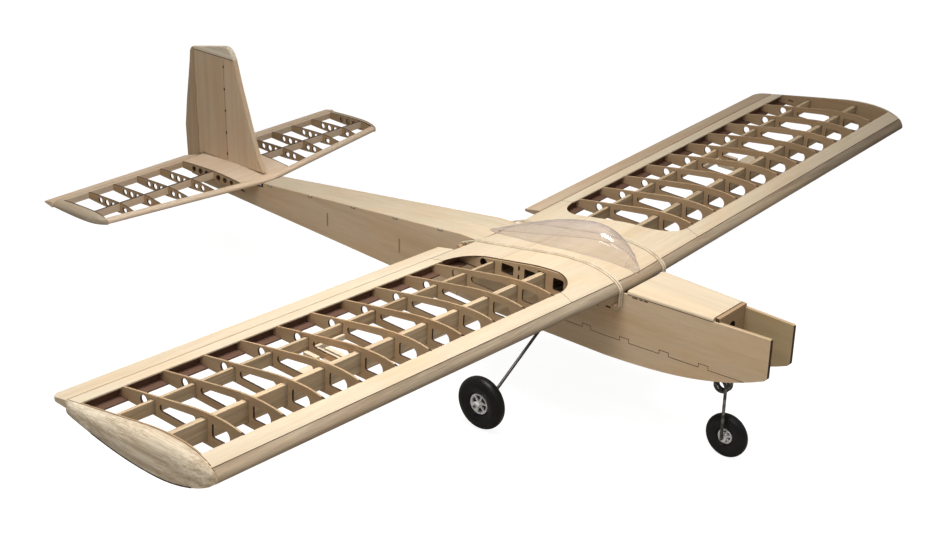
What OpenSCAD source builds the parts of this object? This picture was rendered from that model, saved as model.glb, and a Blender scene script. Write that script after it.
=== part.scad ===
// Bare-frame radio-control trainer aeroplane: open balsa and ply structure, before covering.
// +X points to the nose, +Y to the port wing tip, +Z up. The wheels stand on z = 0.
// Stations (x) are measured forward from the wing's trailing-edge sheeting, heights (z)
// from the ground; place() then moves the whole model so that its middle is at x = 0.

/* [Wing] */
// Distance between neighbouring ribs
rib_pitch = 52.8; // [52:0.2:53.4]
// Distance of the root rib from the centre line
root_rib_y = 94; // [93:0.5:95]
// Number of open bays in each wing half
bays = 11; // [9:1:12]
// Upward angle of each wing half, degrees
dihedral = 2.4; // [1.5:0.1:3]
// Thickness of a wing rib
rib_t = 2.4; // [2:0.1:3]
// Thickness of the wing sheeting
sheet_t = 1.6; // [1.2:0.1:2]
// Height of the wing's upper surface at its crest
crest_z = 211.6; // [210:0.2:213]
// Width of the main spar along the chord
spar_w = 6.6; // [5:0.2:7]
// Depth of the main spar
spar_h = 23.2; // [20:0.2:24]
// Width of the rear spar along the chord
rear_spar_w = 4.2; // [3:0.2:5]
// Chord of the strip aileron
aileron_chord = 28; // [24:1:30]
// Greatest width of the wing-tip block
tip_w = 21; // [18:1:26]

/* [Fuselage] */
// Half width of the fuselage under the wing
half_w = 41; // [39:0.5:42]
// Thickness of the fuselage sides
side_t = 2.4; // [2:0.1:3]
// Height of the joint between the upper and lower side panels
seam_z = 124.5; // [122:0.5:126]
// Thickness of the ply firewall
firewall_t = 5; // [4:0.5:6]
// Height of the hatch's upper face
hatch_z = 193; // [192.6:0.2:194]
// Radius of the wing dowels
dowel_r = 3; // [2.5:0.25:3.5]

/* [Landing gear] */
// Radius of a main wheel
main_r = 35; // [34:0.5:36]
// Radius of the nose wheel
nose_r = 28.5; // [27.5:0.5:29]
// Radius of the landing gear wire
wire_r = 2; // [1.8:0.1:2.2]
// Distance of a main wheel's middle from the centre line
track_half = 149; // [146:1:152]

/* [Tail] */
// Distance between neighbouring tail ribs
tail_pitch = 43; // [42:0.5:43.5]
// Half thickness of the stabiliser at its spar
tail_half_t = 7.5; // [7:0.25:8]
// Half thickness of the fin
fin_half_t = 4.2; // [3.8:0.1:4.6]

/* [Canopy] */
// Height of the canopy's crest
canopy_z = 245; // [240:1:250]
// Half width of the canopy
canopy_half_w = 25; // [22:1:27]

/* [Hidden] */
$fn = 48;

// Colours
balsa = [0.86, 0.77, 0.60];
pale_balsa = [0.93, 0.87, 0.73];
ply = [0.72, 0.58, 0.40];
hardwood = [0.66, 0.50, 0.33];
steel = [0.12, 0.12, 0.13];
rubber_black = [0.05, 0.05, 0.05];
silver = [0.75, 0.76, 0.78];
nylon = [0.10, 0.10, 0.10];
clear_plastic = [0.85, 0.88, 0.90, 0.35];
latex = [0.85, 0.74, 0.56];

// Main stations
nose_x = 405;
mid_x = 121;
big = 900;
glue_gap = 0.05;

// Wing section
tip_rib_y = root_rib_y + bays * rib_pitch;
wing_nose_x = 207;
wing_nose_z = 189;
crest_x = 148;
blend_x = 100;
foot_z = 175.7;
knot_pitch = 4;
top_slope = 0.1555;
bottom_slope = 0.0245;
aileron_gap = 0.5;
te_face_x = -20;
aileron_te_x = te_face_x - aileron_gap - aileron_chord;
te_top_front_x = -1;
te_bottom_front_x = 8;
te_web_x = [-10, -6];
le_sheet_rear_x = 182;
le_stock_x = 199;
spar_x = 122;
spar_foot_z = 180.7;
rear_spar_x = 45.4;
rear_spar_z = [180, 194.8];
slot_side = 0.1;
slot_front = 1.9;
slot_top = 1.2;
brace_t = 3;
servo_plate_front_x = 119;
dihedral_z = 180;
centre_corner_r = 40;
sheet_joint_y = root_rib_y - 1 + centre_corner_r;

// Fuselage
tail_x = -607;
widest_x = [0, 185];
rear_taper = 0.0469;
front_taper = 0.058;
deck_rear_x = -454.5;
deck_t = 2.4;
deck_break_x = -50.2;
deck_tab_x = [-91, -176, -260, -350, -439];
seat_z = 138.4;
nose_corner_r = 3;
doubler_t = 3;
seam_front_x = 376;
bottom_t = 2.4;
firewall_x = 332;
side_top_z = 188.4;
hatch_x = [213, 330.2];
saddle_lift = 1.2;
seam_rear_x = -60;
seam_tab_x = [150, 206, 262, 316];
seam_tab_w = 13;
seam_tab_h = 5;
front_dowel = [203, 174];
rear_dowel = [-43, 178.4];
dowel_half_l = 55;
gear_x = 83;
gear_block_w = 18;
former_t = 3;
slot_former_x = [-168, -314];
slot_z = [[126, 147], [121, 141]];

// Rubber bands
band_t = 1.2;
band_w = 2.4;
band_y = [42.2, 46];

// Landing gear
main_hub_r = 13.5;
nose_hub_r = 9.5;
main_half_w = 9;
nose_half_w = 7.5;
strut_x = 344;
leg_y = -13;
run_clear = 0.05;
collar_r = 5;
collar_w = 4;
lug_z = [118, 140];
lug_h = 8;
bracket_screw_z = [121, 145];
arm_tip_x = 8;
arm_tip_y = [-14, 14];
coil_z = 97;
coil_r = 8.5;
coil_gap = 0.1;

// Tail
stab_z = 146;
stab_te_x = -607;
stab_rib_rear_x = -601;
stab_spar_x = [-533, -530];
stab_spar_foot_z = 142.5;
stab_root_y = 48;
stab_tip_y = stab_root_y + 5 * tail_pitch;
elevator_te_x = -627.5;
elevator_end_y = stab_tip_y + 15;
elevator_root_y = 13;
tail_te_half_t = 4.5;
tail_le_half_t = 3.7;
sweep = 0.167;
tail_strip_w = 9;
stab_le_x = -456;
fin_post_x = [-614, -607];
fin_top_z = 314;
fin_seam_x = -549;
fin_rib_z = [164.8, 198.4, 232.5, 266, 300];
joiner_x = -610.5;
rudder_axis_x = -614.7;
elevator_axis_x = -607.5;
aileron_axis_x = te_face_x - aileron_gap / 2;

// ---------- Helpers ----------

// Evenly spaced values from a to b
function steps(a, b, n) = [for (i = [0:n]) a + (b - a) * i / n];

function flip(p) = [for (i = [len(p) - 1:-1:0]) p[i]];

// Fraction of the nose ellipse's height left at station x
function nose_fall(x) = sqrt(max(0, 1 - pow((x - crest_x) / (wing_nose_x - crest_x), 2)));

// Upper surface of the wing section
function wing_top(x) =
    let (k = top_slope / (2 * (crest_x - blend_x)))
    x > crest_x ? wing_nose_z + (crest_z - wing_nose_z) * nose_fall(x)
    : x > blend_x ? crest_z - k * pow(crest_x - x, 2)
    : crest_z - k * pow(crest_x - blend_x, 2) - top_slope * (blend_x - x);

// Lower surface of the wing section
function wing_bottom(x) =
    x > crest_x ? wing_nose_z - (wing_nose_z - foot_z) * nose_fall(x)
    : foot_z + bottom_slope * (crest_x - x);

// Half width of the fuselage at a station
function fuse_half_w(x) =
    x < widest_x[0] ? half_w + rear_taper * x
    : x < widest_x[1] ? half_w
    : half_w - front_taper * (x - widest_x[1]);

// Underside of the fuselage at a station
function fuse_bottom(x) =
    x < 0 ? 98 - 0.0163 * x
    : x < 150 ? 98
    : 98 + 38 * pow((x - 150) / 255, 3.2);

// Upper face of the aft deck at a station
function deck_z(x) = min(189, 194.3 + 0.1055 * x);

// Half thickness of the stabiliser at a station
function stab_half_t(x, le) =
    x < stab_spar_x[0]
        ? tail_te_half_t + (tail_half_t - tail_te_half_t)
            * sin(90 * (x - stab_te_x) / (stab_spar_x[0] - stab_te_x))
        : tail_le_half_t + (tail_half_t - tail_le_half_t)
            * sin(90 * (le - x) / (le - stab_spar_x[0]));

// Rear edge of the stabiliser's leading-edge strip
function stab_strip_x(y) = stab_le_x - tail_strip_w - sweep * y;

module place() {
    translate([mid_x, 0, 0]) children();
}

// Extrudes a side-view profile (x, z) across the model, from y0 to y1
module across(y0, y1) {
    rotate([90, 0, 0]) translate([0, 0, -y1]) linear_extrude(y1 - y0) children();
}

// Extrudes a front-view profile (y, z) along the model, from x0 to x1
module along(x0, x1) {
    translate([x0, 0, 0]) rotate([90, 0, 90]) linear_extrude(x1 - x0) children();
}

// Puts children on the port half of the wing for side 1, on the starboard half for side -1
module wing_half(side) {
    mirror([0, side < 0 ? 1 : 0, 0])
        translate([0, 0, dihedral_z])
            rotate([dihedral, 0, 0])
                translate([0, 0, -dihedral_z])
                    children();
}

// The same, cut off at the centre line
module wing_half_cut(side) {
    intersection() {
        wing_half(side) children();
        translate([-big, side > 0 ? glue_gap : -big - glue_gap, 0]) cube([2 * big, big, big]);
    }
}

module port_and_starboard() {
    children();
    mirror([0, 1, 0]) children();
}

// Straight round rod between two points
module rod(p, q, r) {
    d = q - p;
    translate(p)
        rotate([0, acos(d[2] / norm(d)), atan2(d[1], d[0])])
            cylinder(h = norm(d), r = r);
}

// Round bar along y
module y_bar(x, z, y0, y1, r) {
    translate([x, y1, z]) rotate([90, 0, 0]) cylinder(h = y1 - y0, r = r);
}

module rounded_box_2d(x0, z0, x1, z1, r) {
    offset(r = r) translate([x0 + r, z0 + r]) square([x1 - x0 - 2 * r, z1 - z0 - 2 * r]);
}

// ---------- Wing ----------

// Stations of the section's polyline between two ends; every part shares them, so faces meet
function knots(xa, xb) = concat([xa],
    [for (i = [floor(xa / knot_pitch) + 1:ceil(xb / knot_pitch) - 1]) i * knot_pitch], [xb]);

function top_z(x) =
    let (i = floor(x / knot_pitch), f = x / knot_pitch - i)
    (1 - f) * wing_top(i * knot_pitch) + f * wing_top((i + 1) * knot_pitch);

function bottom_z(x) =
    let (i = floor(x / knot_pitch), f = x / knot_pitch - i)
    (1 - f) * wing_bottom(i * knot_pitch) + f * wing_bottom((i + 1) * knot_pitch);

// Side view of the wing between two stations, set in from both surfaces
module wing_slice(xa, xb, top_in = 0, bottom_in = 0) {
    polygon(concat(
        [for (x = knots(xa, xb)) [x, top_z(x) - top_in]],
        [for (x = flip(knots(xa, xb))) [x, bottom_z(x) + bottom_in]]));
}

// Upper skin between two stations, from one depth under the surface to another
module upper_skin(xa, xb, depth, cover = 0) {
    polygon(concat(
        [for (x = knots(xa, xb)) [x, top_z(x) - cover]],
        [for (x = flip(knots(xa, xb))) [x, top_z(x) - depth]]));
}

module lower_skin(xa, xb, depth, cover = 0) {
    polygon(concat(
        [for (x = knots(xa, xb)) [x, bottom_z(x) + cover]],
        [for (x = flip(knots(xa, xb))) [x, bottom_z(x) + depth]]));
}

// Rounded nose of the section, forward of the leading-edge sheeting
module nose_profile() {
    a = acos((le_stock_x - crest_x) / (wing_nose_x - crest_x));
    polygon([for (t = steps(a, -a, 20))
        [crest_x + (wing_nose_x - crest_x) * cos(t),
         wing_nose_z + (t > 0 ? crest_z - wing_nose_z : wing_nose_z - foot_z) * sin(t)]]);
}

// Slot of a rib that a spar is slid through, with room in front of and above the spar
module spar_slot(x, width, z0, z1) {
    translate([x - slot_side, z0 - slot_side])
        square([width + slot_side + slot_front, z1 - z0 + slot_side + slot_top]);
}

module spar_slots() {
    spar_slot(spar_x, spar_w, spar_foot_z, spar_foot_z + spar_h);
    spar_slot(rear_spar_x, rear_spar_w, rear_spar_z[0], rear_spar_z[1]);
}

// Lightening holes of an open-bay rib: round, long and nose hole
module rib_holes() {
    translate([33, 189.5]) circle(r = 5.5);
    offset(r = 4) polygon([[62, 190.5], [109, 189], [109, 196.5], [62, 190.7]]);
    translate([155, 195]) circle(r = 7.8);
    rounded_box_2d(137, 187.2, 157, 202.8, 3);
}

// Cut-outs of a rib under the centre sheeting, with the pair of joiner slots
module centre_rib_holes() {
    translate([33, 189.5]) circle(r = 5.5);
    rounded_box_2d(62, 186, 81, 198, 1.5);
    rounded_box_2d(98, 187, 115, 200.5, 1.5);
    rounded_box_2d(142, 187.5, 158, 203, 2);
    translate([88.2, 184]) square([2.4, 6]);
    translate([88.2, 195.5]) square([2.4, 6]);
}

// Outline of a rib; a sheeted rib is set in by the sheeting along its whole length
module rib_outline(sheeted) {
    if (sheeted) {
        wing_slice(te_web_x[1], le_stock_x, sheet_t, sheet_t);
    } else {
        wing_slice(te_bottom_front_x, le_sheet_rear_x);
        wing_slice(te_top_front_x, te_bottom_front_x, 0, sheet_t);
        wing_slice(te_web_x[1], te_top_front_x, sheet_t, sheet_t);
        wing_slice(le_sheet_rear_x, le_stock_x, sheet_t, sheet_t);
    }
}

module rib_at(y) {
    across(y - rib_t / 2, y + rib_t / 2) children();
}

module wing_rib_set(side) {
    wing_half(side) {
        for (k = [1:bays - 1])
            rib_at(root_rib_y + k * rib_pitch)
                difference() {
                    rib_outline(false);
                    spar_slots();
                    rib_holes();
                }
        for (k = [-1:0])
            rib_at(root_rib_y + k * rib_pitch)
                difference() {
                    rib_outline(true);
                    spar_slots();
                    centre_rib_holes();
                    spar_slot(spar_x - brace_t - glue_gap, brace_t, spar_foot_z, spar_foot_z + spar_h);
                }
        rib_at(tip_rib_y)
            difference() {
                rib_outline(false);
                spar_slots();
                translate([12, 186]) square([9, 2.4]);
            }
    }
}

module wing_ribs_left() { color(ply) place() wing_rib_set(1); }
module wing_ribs_right() { color(ply) place() wing_rib_set(-1); }

// Straight spar from the centre line to the tip rib, in both halves
module spar_pair(x, width, z0, z1) {
    color(balsa) place()
        for (side = [-1, 1])
            wing_half_cut(side)
                translate([x, -5, z0]) cube([width, tip_rib_y + rib_t / 2 + 5, z1 - z0]);
}

module main_spars() { spar_pair(spar_x, spar_w, spar_foot_z, spar_foot_z + spar_h); }
module rear_spars() { spar_pair(rear_spar_x, rear_spar_w, rear_spar_z[0], rear_spar_z[1]); }

// Web that closes the section behind the ribs, between the trailing-edge sheets
module trailing_edge_webs() {
    color(ply) place()
        for (side = [-1, 1])
            wing_half_cut(side)
                across(-5, tip_rib_y + rib_t / 2)
                    wing_slice(te_web_x[0], te_web_x[1], sheet_t + 0.01, sheet_t + 0.01);
}

module leading_edges() {
    color(pale_balsa) place()
        for (side = [-1, 1])
            wing_half_cut(side) across(-5, tip_rib_y + rib_t / 2) nose_profile();
}

module leading_edge_sheeting() {
    color(pale_balsa) place()
        for (side = [-1, 1])
            wing_half(side) {
                across(sheet_joint_y, tip_rib_y + rib_t / 2)
                    upper_skin(le_sheet_rear_x, le_stock_x, sheet_t);
                across(root_rib_y + rib_t / 2, tip_rib_y + rib_t / 2)
                    lower_skin(le_sheet_rear_x, le_stock_x, sheet_t);
            }
}

module trailing_edge_sheeting() {
    color(pale_balsa) place()
        for (side = [-1, 1])
            wing_half(side) {
                across(sheet_joint_y, tip_rib_y + rib_t / 2)
                    upper_skin(te_face_x, te_top_front_x, sheet_t);
                across(root_rib_y + rib_t / 2, tip_rib_y + rib_t / 2)
                    lower_skin(te_face_x, te_bottom_front_x, sheet_t);
            }
}

// Opening of the upper centre sheeting, with round inboard corners
module bay_opening() {
    r = centre_corner_r;
    translate([0, 0, -big])
        linear_extrude(2 * big)
            union() {
                for (x = [te_top_front_x + r, le_sheet_rear_x - r])
                    translate([x, sheet_joint_y]) circle(r = r, $fn = 96);
                translate([te_top_front_x + r, root_rib_y - 1])
                    square([le_sheet_rear_x - te_top_front_x - 2 * r, r + 5]);
                translate([te_top_front_x, sheet_joint_y])
                    square([le_sheet_rear_x - te_top_front_x, 5]);
            }
}

module centre_sheeting() {
    color(pale_balsa) place()
        for (side = [-1, 1])
            wing_half_cut(side) {
                difference() {
                    across(-5, sheet_joint_y - glue_gap) upper_skin(te_face_x, le_stock_x, sheet_t);
                    bay_opening();
                }
                across(-5, root_rib_y + rib_t / 2 - glue_gap)
                    lower_skin(te_face_x, le_stock_x, sheet_t);
            }
}

module dihedral_brace() {
    color(ply) place()
        for (side = [-1, 1])
            wing_half_cut(side)
                translate([spar_x - brace_t - glue_gap, -5, spar_foot_z])
                    cube([brace_t, root_rib_y + 5 - rib_t / 2 - glue_gap, spar_h]);
}

// Solid block outside the tip rib; its outline swells towards the front
module tip_outline() {
    y0 = tip_rib_y + rib_t / 2 + glue_gap;
    chord = wing_nose_x - te_face_x;
    polygon(concat(
        [[te_face_x, y0]],
        [for (u = steps(0, 1, 24))
            [te_face_x + chord * u, y0 + 5 * pow(1 - u, 3) + tip_w * pow(sin(180 * pow(u, 1.5)), 0.52)]],
        [[wing_nose_x, y0]]));
}

module wing_tips() {
    color(pale_balsa) place()
        for (side = [-1, 1])
            wing_half(side)
                intersection() {
                    across(tip_rib_y, tip_rib_y + 2 * tip_w)
                        union() {
                            wing_slice(te_face_x, le_stock_x);
                            nose_profile();
                        }
                    linear_extrude(big) tip_outline();
                }
}

// Side view of the aileron: a wedge whose front is bevelled to a ridge on the hinge line
module aileron_profile() {
    front = te_face_x - aileron_gap;
    top = wing_top(front);
    bottom = wing_bottom(front);
    bevel = (top - bottom) / 2 * tan(22);
    polygon([
        [front, (top + bottom) / 2], [front - bevel, wing_top(front - bevel)],
        [aileron_te_x, wing_top(aileron_te_x) - 0.6], [aileron_te_x, wing_bottom(aileron_te_x) + 0.6],
        [front - bevel, wing_bottom(front - bevel)]]);
}

// Middle height of the aileron hinge line, before dihedral
aileron_axis_z = (wing_top(te_face_x) + wing_bottom(te_face_x)) / 2;
hinge_y = [for (k = [1, 4, 7, 10]) root_rib_y + (k + 0.5) * rib_pitch - 26];
aileron_root_y = 88;
aileron_end_y = tip_rib_y + rib_t / 2 + 2;
aileron_corner_r = 12;

module hinge_barrel_room() {
    for (y = hinge_y)
        y_bar(aileron_axis_x, aileron_axis_z, y - 8.4, y + 8.4, 1.9);
}

module leaf_slots(y_list, reach) {
    for (y = y_list)
        translate([reach > 0 ? aileron_axis_x : aileron_axis_x + reach, y - 8.1, aileron_axis_z - 0.6])
            cube([abs(reach), 16.2, 1.2]);
}

module aileron_body(side) {
    wing_half(side)
        difference() {
            across(aileron_root_y, aileron_end_y) aileron_profile();
            translate([aileron_te_x + aileron_corner_r, aileron_end_y - aileron_corner_r, 0])
                linear_extrude(big) mirror([1, 0]) corner_cut(aileron_corner_r);
            hinge_barrel_room();
            leaf_slots(hinge_y, -12.2);
        }
}

module aileron_left() { color(pale_balsa) place() aileron_body(1); }
module aileron_right() { color(pale_balsa) place() aileron_body(-1); }

// Ply plate under the seventh bay, with rails beside it, for the aileron servo
module servo_bays() {
    y = root_rib_y + 6 * rib_pitch;
    color(pale_balsa) place()
        for (side = [-1, 1])
            wing_half(side) {
                across(y + rib_t / 2 + glue_gap, y + rib_pitch - rib_t / 2 - glue_gap)
                    lower_skin(76, servo_plate_front_x, 2);
                across(y - 9, y - 2) lower_skin(56, servo_plate_front_x, 5);
                across(y - 18, y - 12) lower_skin(62, servo_plate_front_x, 5);
                across(y + 8, y + 14) polygon([[56, 179.5], [75.8, 179], [75.8, 184], [56, 184.5]]);
                across(y - rib_pitch + rib_t / 2 + 0.1, y - rib_t / 2 - 0.1)
                    lower_skin(52, 55.8, 6);
            }
}

// ---------- Canopy and rubber bands ----------

function canopy_rise(u) = pow(sin(180 * pow(u, 0.62)), 0.8);

module canopy_form(shrink) {
    rear = -34;
    front = 206;
    hull()
        for (u = steps(0.02, 0.985, 14)) {
            x = rear + (front - rear) * (1 - u);
            base = 188 + 10 * (1 - u);
            top = base + (canopy_z - 194) * canopy_rise(u) - shrink;
            half = 2 + (canopy_half_w - 2) * pow(sin(180 * pow(u, 0.8)), 0.7) - shrink;
            translate([x, 0, 0]) rotate([90, 0, 90])
                linear_extrude(0.1)
                    polygon([for (a = steps(0, 180, 12))
                        [half * cos(a), base - 4 + (top - base + 4) * sin(a)]]);
        }
}

module canopy() {
    color(clear_plastic) place()
        difference() {
            canopy_form(0);
            canopy_form(1.2);
            for (side = [-1, 1])
                wing_half(side)
                    across(-2, 60)
                        polygon(concat(
                            [for (x = steps(-60, le_stock_x, 40)) [x, wing_top(max(x, te_face_x)) + 0.25]],
                            [[230, wing_top(le_stock_x) + 0.25], [230, 120], [-60, 120]]));
        }
}

// Shape a stretched band follows over the wing, from dowel to dowel
module band_core() {
    hull() {
        translate([0, half_w * tan(dihedral)]) {
            wing_slice(te_face_x, le_stock_x);
            nose_profile();
        }
        translate(front_dowel) circle(r = dowel_r);
        translate(rear_dowel) circle(r = dowel_r);
    }
}

module band_run() {
    difference() {
        offset(r = band_t + 0.5) band_core();
        offset(r = 0.5) band_core();
        polygon([[front_dowel[0] - 6, front_dowel[1] + 2], [rear_dowel[0] + 6, rear_dowel[1] + 2],
            [rear_dowel[0] + 6, 100], [front_dowel[0] - 6, 100]]);
    }
}

module rubber_bands() {
    color(latex) place()
        port_and_starboard()
            for (y = band_y) across(y, y + band_w) band_run();
}

// ---------- Fuselage ----------

// Plan view of a strip along the port side, between two distances in from the outer face
module side_plan(inner, outer, xa, xb) {
    x_list = [for (x = [xa, widest_x[0], widest_x[1], xb]) if (x >= xa && x <= xb) x];
    n = len(x_list);
    polygon(concat(
        [for (x = x_list) [x, fuse_half_w(x) - outer]],
        [for (i = [n - 1:-1:0]) [x_list[i], fuse_half_w(x_list[i]) - inner]]));
}

// Plan view of the space between the fuselage sides
module between_plan(inset, xa, xb) {
    x_list = [for (x = [xa, widest_x[0], widest_x[1], xb]) if (x >= xa && x <= xb) x];
    n = len(x_list);
    polygon(concat(
        [for (x = x_list) [x, fuse_half_w(x) - inset]],
        [for (i = [n - 1:-1:0]) [x_list[i], inset - fuse_half_w(x_list[i])]]));
}

// Stations used by every part that follows the belly, so that their edges agree
belly_x = concat([tail_x, 0], steps(150, nose_x, 15));

function belly(xa, xb, up) = concat(
    [[xa, fuse_bottom(xa) + up]],
    [for (x = belly_x) if (x > xa && x < xb) [x, fuse_bottom(x) + up]],
    [[xb, fuse_bottom(xb) + up]]);

// Upper edge of the fuselage side from the nose back to the tail post
function side_top() = concat(
    [[nose_x, side_top_z - 0.1], [wing_nose_x + 1.5, side_top_z - 0.1]],
    [for (x = steps(wing_nose_x - 1, crest_x, 24)) [x, wing_bottom(x) + saddle_lift]],
    [[te_face_x - 0.3, wing_bottom(te_face_x) + saddle_lift], [te_face_x - 0.3, deck_z(te_face_x)],
     [deck_break_x, deck_z(deck_break_x)], [deck_rear_x, deck_z(deck_rear_x)],
     [deck_rear_x, seat_z], [tail_x, seat_z]]);

module deck_profile(xa, xb) {
    x_list = [for (x = [xa, deck_break_x, xb]) if (x >= xa && x <= xb) x];
    polygon(concat([for (x = x_list) [x, deck_z(x)]],
        [for (x = flip(x_list)) [x, deck_z(x) - deck_t]]));
}

module deck_tabs() {
    for (x = deck_tab_x) deck_profile(x - 4, x + 4);
}

// Lower side panel, with the tabs that lock it into the upper one
module lower_side_profile() {
    polygon(concat(belly(seam_rear_x, seam_front_x, 0), [[seam_rear_x + 12, seam_z]]));
    for (x = seam_tab_x)
        translate([x, seam_z - 0.1]) square([seam_tab_w, seam_tab_h + 0.1]);
}

module dowel_holes() {
    translate(front_dowel) circle(r = dowel_r + 0.02);
    translate(rear_dowel) circle(r = dowel_r + 0.02);
}

module former_slots() {
    for (i = [0:1])
        translate([slot_former_x[i] - former_t / 2, slot_z[i][0]])
            square([former_t, slot_z[i][1] - slot_z[i][0]]);
}

module upper_side_profile() {
    difference() {
        polygon(concat(belly(tail_x, nose_x, 0), side_top()));
        lower_side_profile();
        deck_tabs();
        dowel_holes();
        former_slots();
        polygon([[-494, 120], [-514, 120.5], [-509, 126]]);
        nose_corners();
    }
}

// Material outside a round corner, for a corner towards +X and +Y of the arc's centre
module corner_cut(r) {
    difference() {
        square(r + 2);
        circle(r = r);
    }
}

module nose_corners() {
    r = nose_corner_r;
    translate([nose_x - r, side_top_z - r]) corner_cut(r);
    translate([nose_x - r, fuse_bottom(nose_x) + r]) mirror([0, 1]) corner_cut(r);
}

module side_wall() {
    intersection() {
        across(0, 60) children();
        linear_extrude(300) side_plan(side_t, 0, tail_x, nose_x);
    }
}

module fuselage_side_left() { color(balsa) place() side_wall() upper_side_profile(); }
module fuselage_side_right() { color(balsa) place() mirror([0, 1, 0]) side_wall() upper_side_profile(); }
module lower_sides() { color(balsa) place() port_and_starboard() side_wall() lower_side_profile(); }

module aft_deck() {
    color(balsa) place() {
        intersection() {
            across(-60, 60) deck_profile(deck_rear_x, te_face_x - 2.5);
            linear_extrude(300) between_plan(side_t, tail_x, nose_x);
        }
        intersection() {
            across(-60, 60) deck_tabs();
            linear_extrude(300) between_plan(0.02, tail_x, nose_x);
        }
    }
}

module belly_sheet(xa, xb) {
    intersection() {
        across(-60, 60) polygon(concat(belly(xa, xb, 0), flip(belly(xa, xb, bottom_t))));
        linear_extrude(300) between_plan(side_t, tail_x, nose_x);
    }
}

module bottom_sheets() {
    color(pale_balsa) place() {
        belly_sheet(tail_x, gear_x - gear_block_w / 2 - glue_gap);
        belly_sheet(gear_x + gear_block_w / 2 + glue_gap, firewall_x - glue_gap);
    }
}

// One former: a frame round an opening, as wide as the space between the sides
module former(x, top, rim) {
    half = fuse_half_w(x - sign(x) * former_t / 2 * (x < 0 ? 1 : -1)) - side_t - 0.15;
    foot = max(fuse_bottom(x - former_t), fuse_bottom(x + former_t)) + bottom_t + 0.05;
    along(x - former_t / 2, x + former_t / 2)
        difference() {
            translate([-half, foot]) square([2 * half, top - foot]);
            rounded_box_2d(-half + rim, foot + rim, half - rim, top - rim, 2);
        }
}

module formers() {
    color(ply) place() {
        former(211, side_top_z - 0.3, 9);
        former(160, wing_bottom(160) - 0.6, 10);
        former(20, wing_bottom(20) - 0.6, 10);
        former(-24.5, deck_z(-24.5) - deck_t - 0.1, 9);
        for (x = [-168, -314]) former(x, deck_z(x - former_t) - deck_t - 0.1, 6);
        for (i = [0:1])
            for (side = [-1, 1])
                mirror([0, side > 0 ? 0 : 1, 0])
                    translate([slot_former_x[i] - former_t / 2, fuse_half_w(slot_former_x[i]) - 6,
                        slot_z[i][0]])
                        cube([former_t, 5.9, slot_z[i][1] - slot_z[i][0]]);
        former(-452, deck_z(-456) - deck_t - 0.1, 4);
    }
}

module firewall() {
    half = fuse_half_w(firewall_x + firewall_t) - side_t - 0.05;
    foot = fuse_bottom(firewall_x);
    color(ply) place()
        difference() {
            along(firewall_x, firewall_x + firewall_t)
                difference() {
                    translate([-half, foot]) square([2 * half, hatch_z - foot]);
                    translate([0, 173.5]) circle(r = 6.5);
                }
            bracket_screws(1.3, 12);
        }
}

// Ply doublers glued inside the sides, either side of the firewall
module doublers() {
    bay = [213, firewall_x - 0.1];
    cheek = [firewall_x + firewall_t + 0.1, nose_x];
    color(ply) place()
        port_and_starboard()
            intersection() {
                across(0, 60) {
                    polygon(concat(belly(bay[0], bay[1], bottom_t + 0.1),
                        [[bay[1], side_top_z - 0.1], [bay[0], side_top_z - 0.1]]));
                    difference() {
                        polygon(concat(belly(cheek[0], cheek[1], 0),
                            [[cheek[1], side_top_z - 0.1], [cheek[0], side_top_z - 0.1]]));
                        nose_corners();
                    }
                }
                linear_extrude(300) side_plan(side_t + doubler_t, side_t, tail_x, nose_x);
            }
}

module hatch_section(x) {
    half = fuse_half_w(x);
    translate([x, 0, 0]) rotate([90, 0, 90])
        linear_extrude(0.02)
            polygon(concat(
                [[-half, side_top_z], [half, side_top_z]],
                [for (a = steps(0, 90, 6)) [half - 3 + 3 * cos(a), hatch_z - 3 + 3 * sin(a)]],
                [for (a = steps(90, 180, 6)) [3 - half + 3 * cos(a), hatch_z - 3 + 3 * sin(a)]]));
}

module hatch() {
    color(balsa) place()
        hull() {
            hatch_section(hatch_x[0]);
            hatch_section(hatch_x[1]);
        }
}

module servo_tray() {
    color(ply) place()
        translate([0, 0, 138])
            linear_extrude(3)
                difference() {
                    translate([21.6, 0.1 + side_t - half_w]) square([136.8, 2 * (half_w - side_t - 0.1)]);
                    for (x = [55, 92])
                        for (y = [-15, 15])
                            translate([x, y]) square([22, 20], center = true);
                }
}

module wing_dowels() {
    color(hardwood) place() {
        y_bar(front_dowel[0], front_dowel[1], -dowel_half_l, dowel_half_l, dowel_r);
        y_bar(rear_dowel[0], rear_dowel[1], -dowel_half_l, dowel_half_l, dowel_r);
    }
}

// ---------- Landing gear ----------

// Height of the main leg wire's axis where it lies against the gear block
leg_top_z = fuse_bottom(gear_x) - wire_r - 0.02;
axle_x = 80.3;

module gear_block() {
    color(hardwood) place()
        difference() {
            translate([gear_x - gear_block_w / 2, side_t + 0.1 - half_w, fuse_bottom(gear_x)])
                cube([gear_block_w, 2 * (half_w - side_t - 0.1), 10]);
            strap_screws(1.3);
        }
}

module strap_screws(r) {
    for (x = [-6, 6])
        for (y = [-24, 24])
            translate([gear_x + x, y, fuse_bottom(gear_x) - 5]) cylinder(h = 14, r = r);
}

// Saddle straps that hold the leg wires against the block
module gear_straps() {
    color(nylon) place()
        for (y = [-24, 24])
            difference() {
                across(y - 4, y + 4)
                    difference() {
                        union() {
                            translate([gear_x - 9, leg_top_z + 0.5]) square([18, 1.5]);
                            translate([gear_x, leg_top_z]) circle(r = wire_r + 1.4);
                        }
                        translate([gear_x, leg_top_z]) circle(r = wire_r + 0.03);
                        translate([gear_x - 10, leg_top_z + 2]) square([20, 10]);
                        translate([gear_x - wire_r - 0.03, leg_top_z]) square([2 * wire_r + 0.06, 6]);
                    }
                strap_screws(1.3);
            }
}

module bracket_screws(r, length) {
    for (y = [-9, 9])
        for (z = bracket_screw_z)
            translate([firewall_x + firewall_t + 3.02 - length, y, z])
                rotate([0, 90, 0]) cylinder(h = length, r = r);
}

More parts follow.
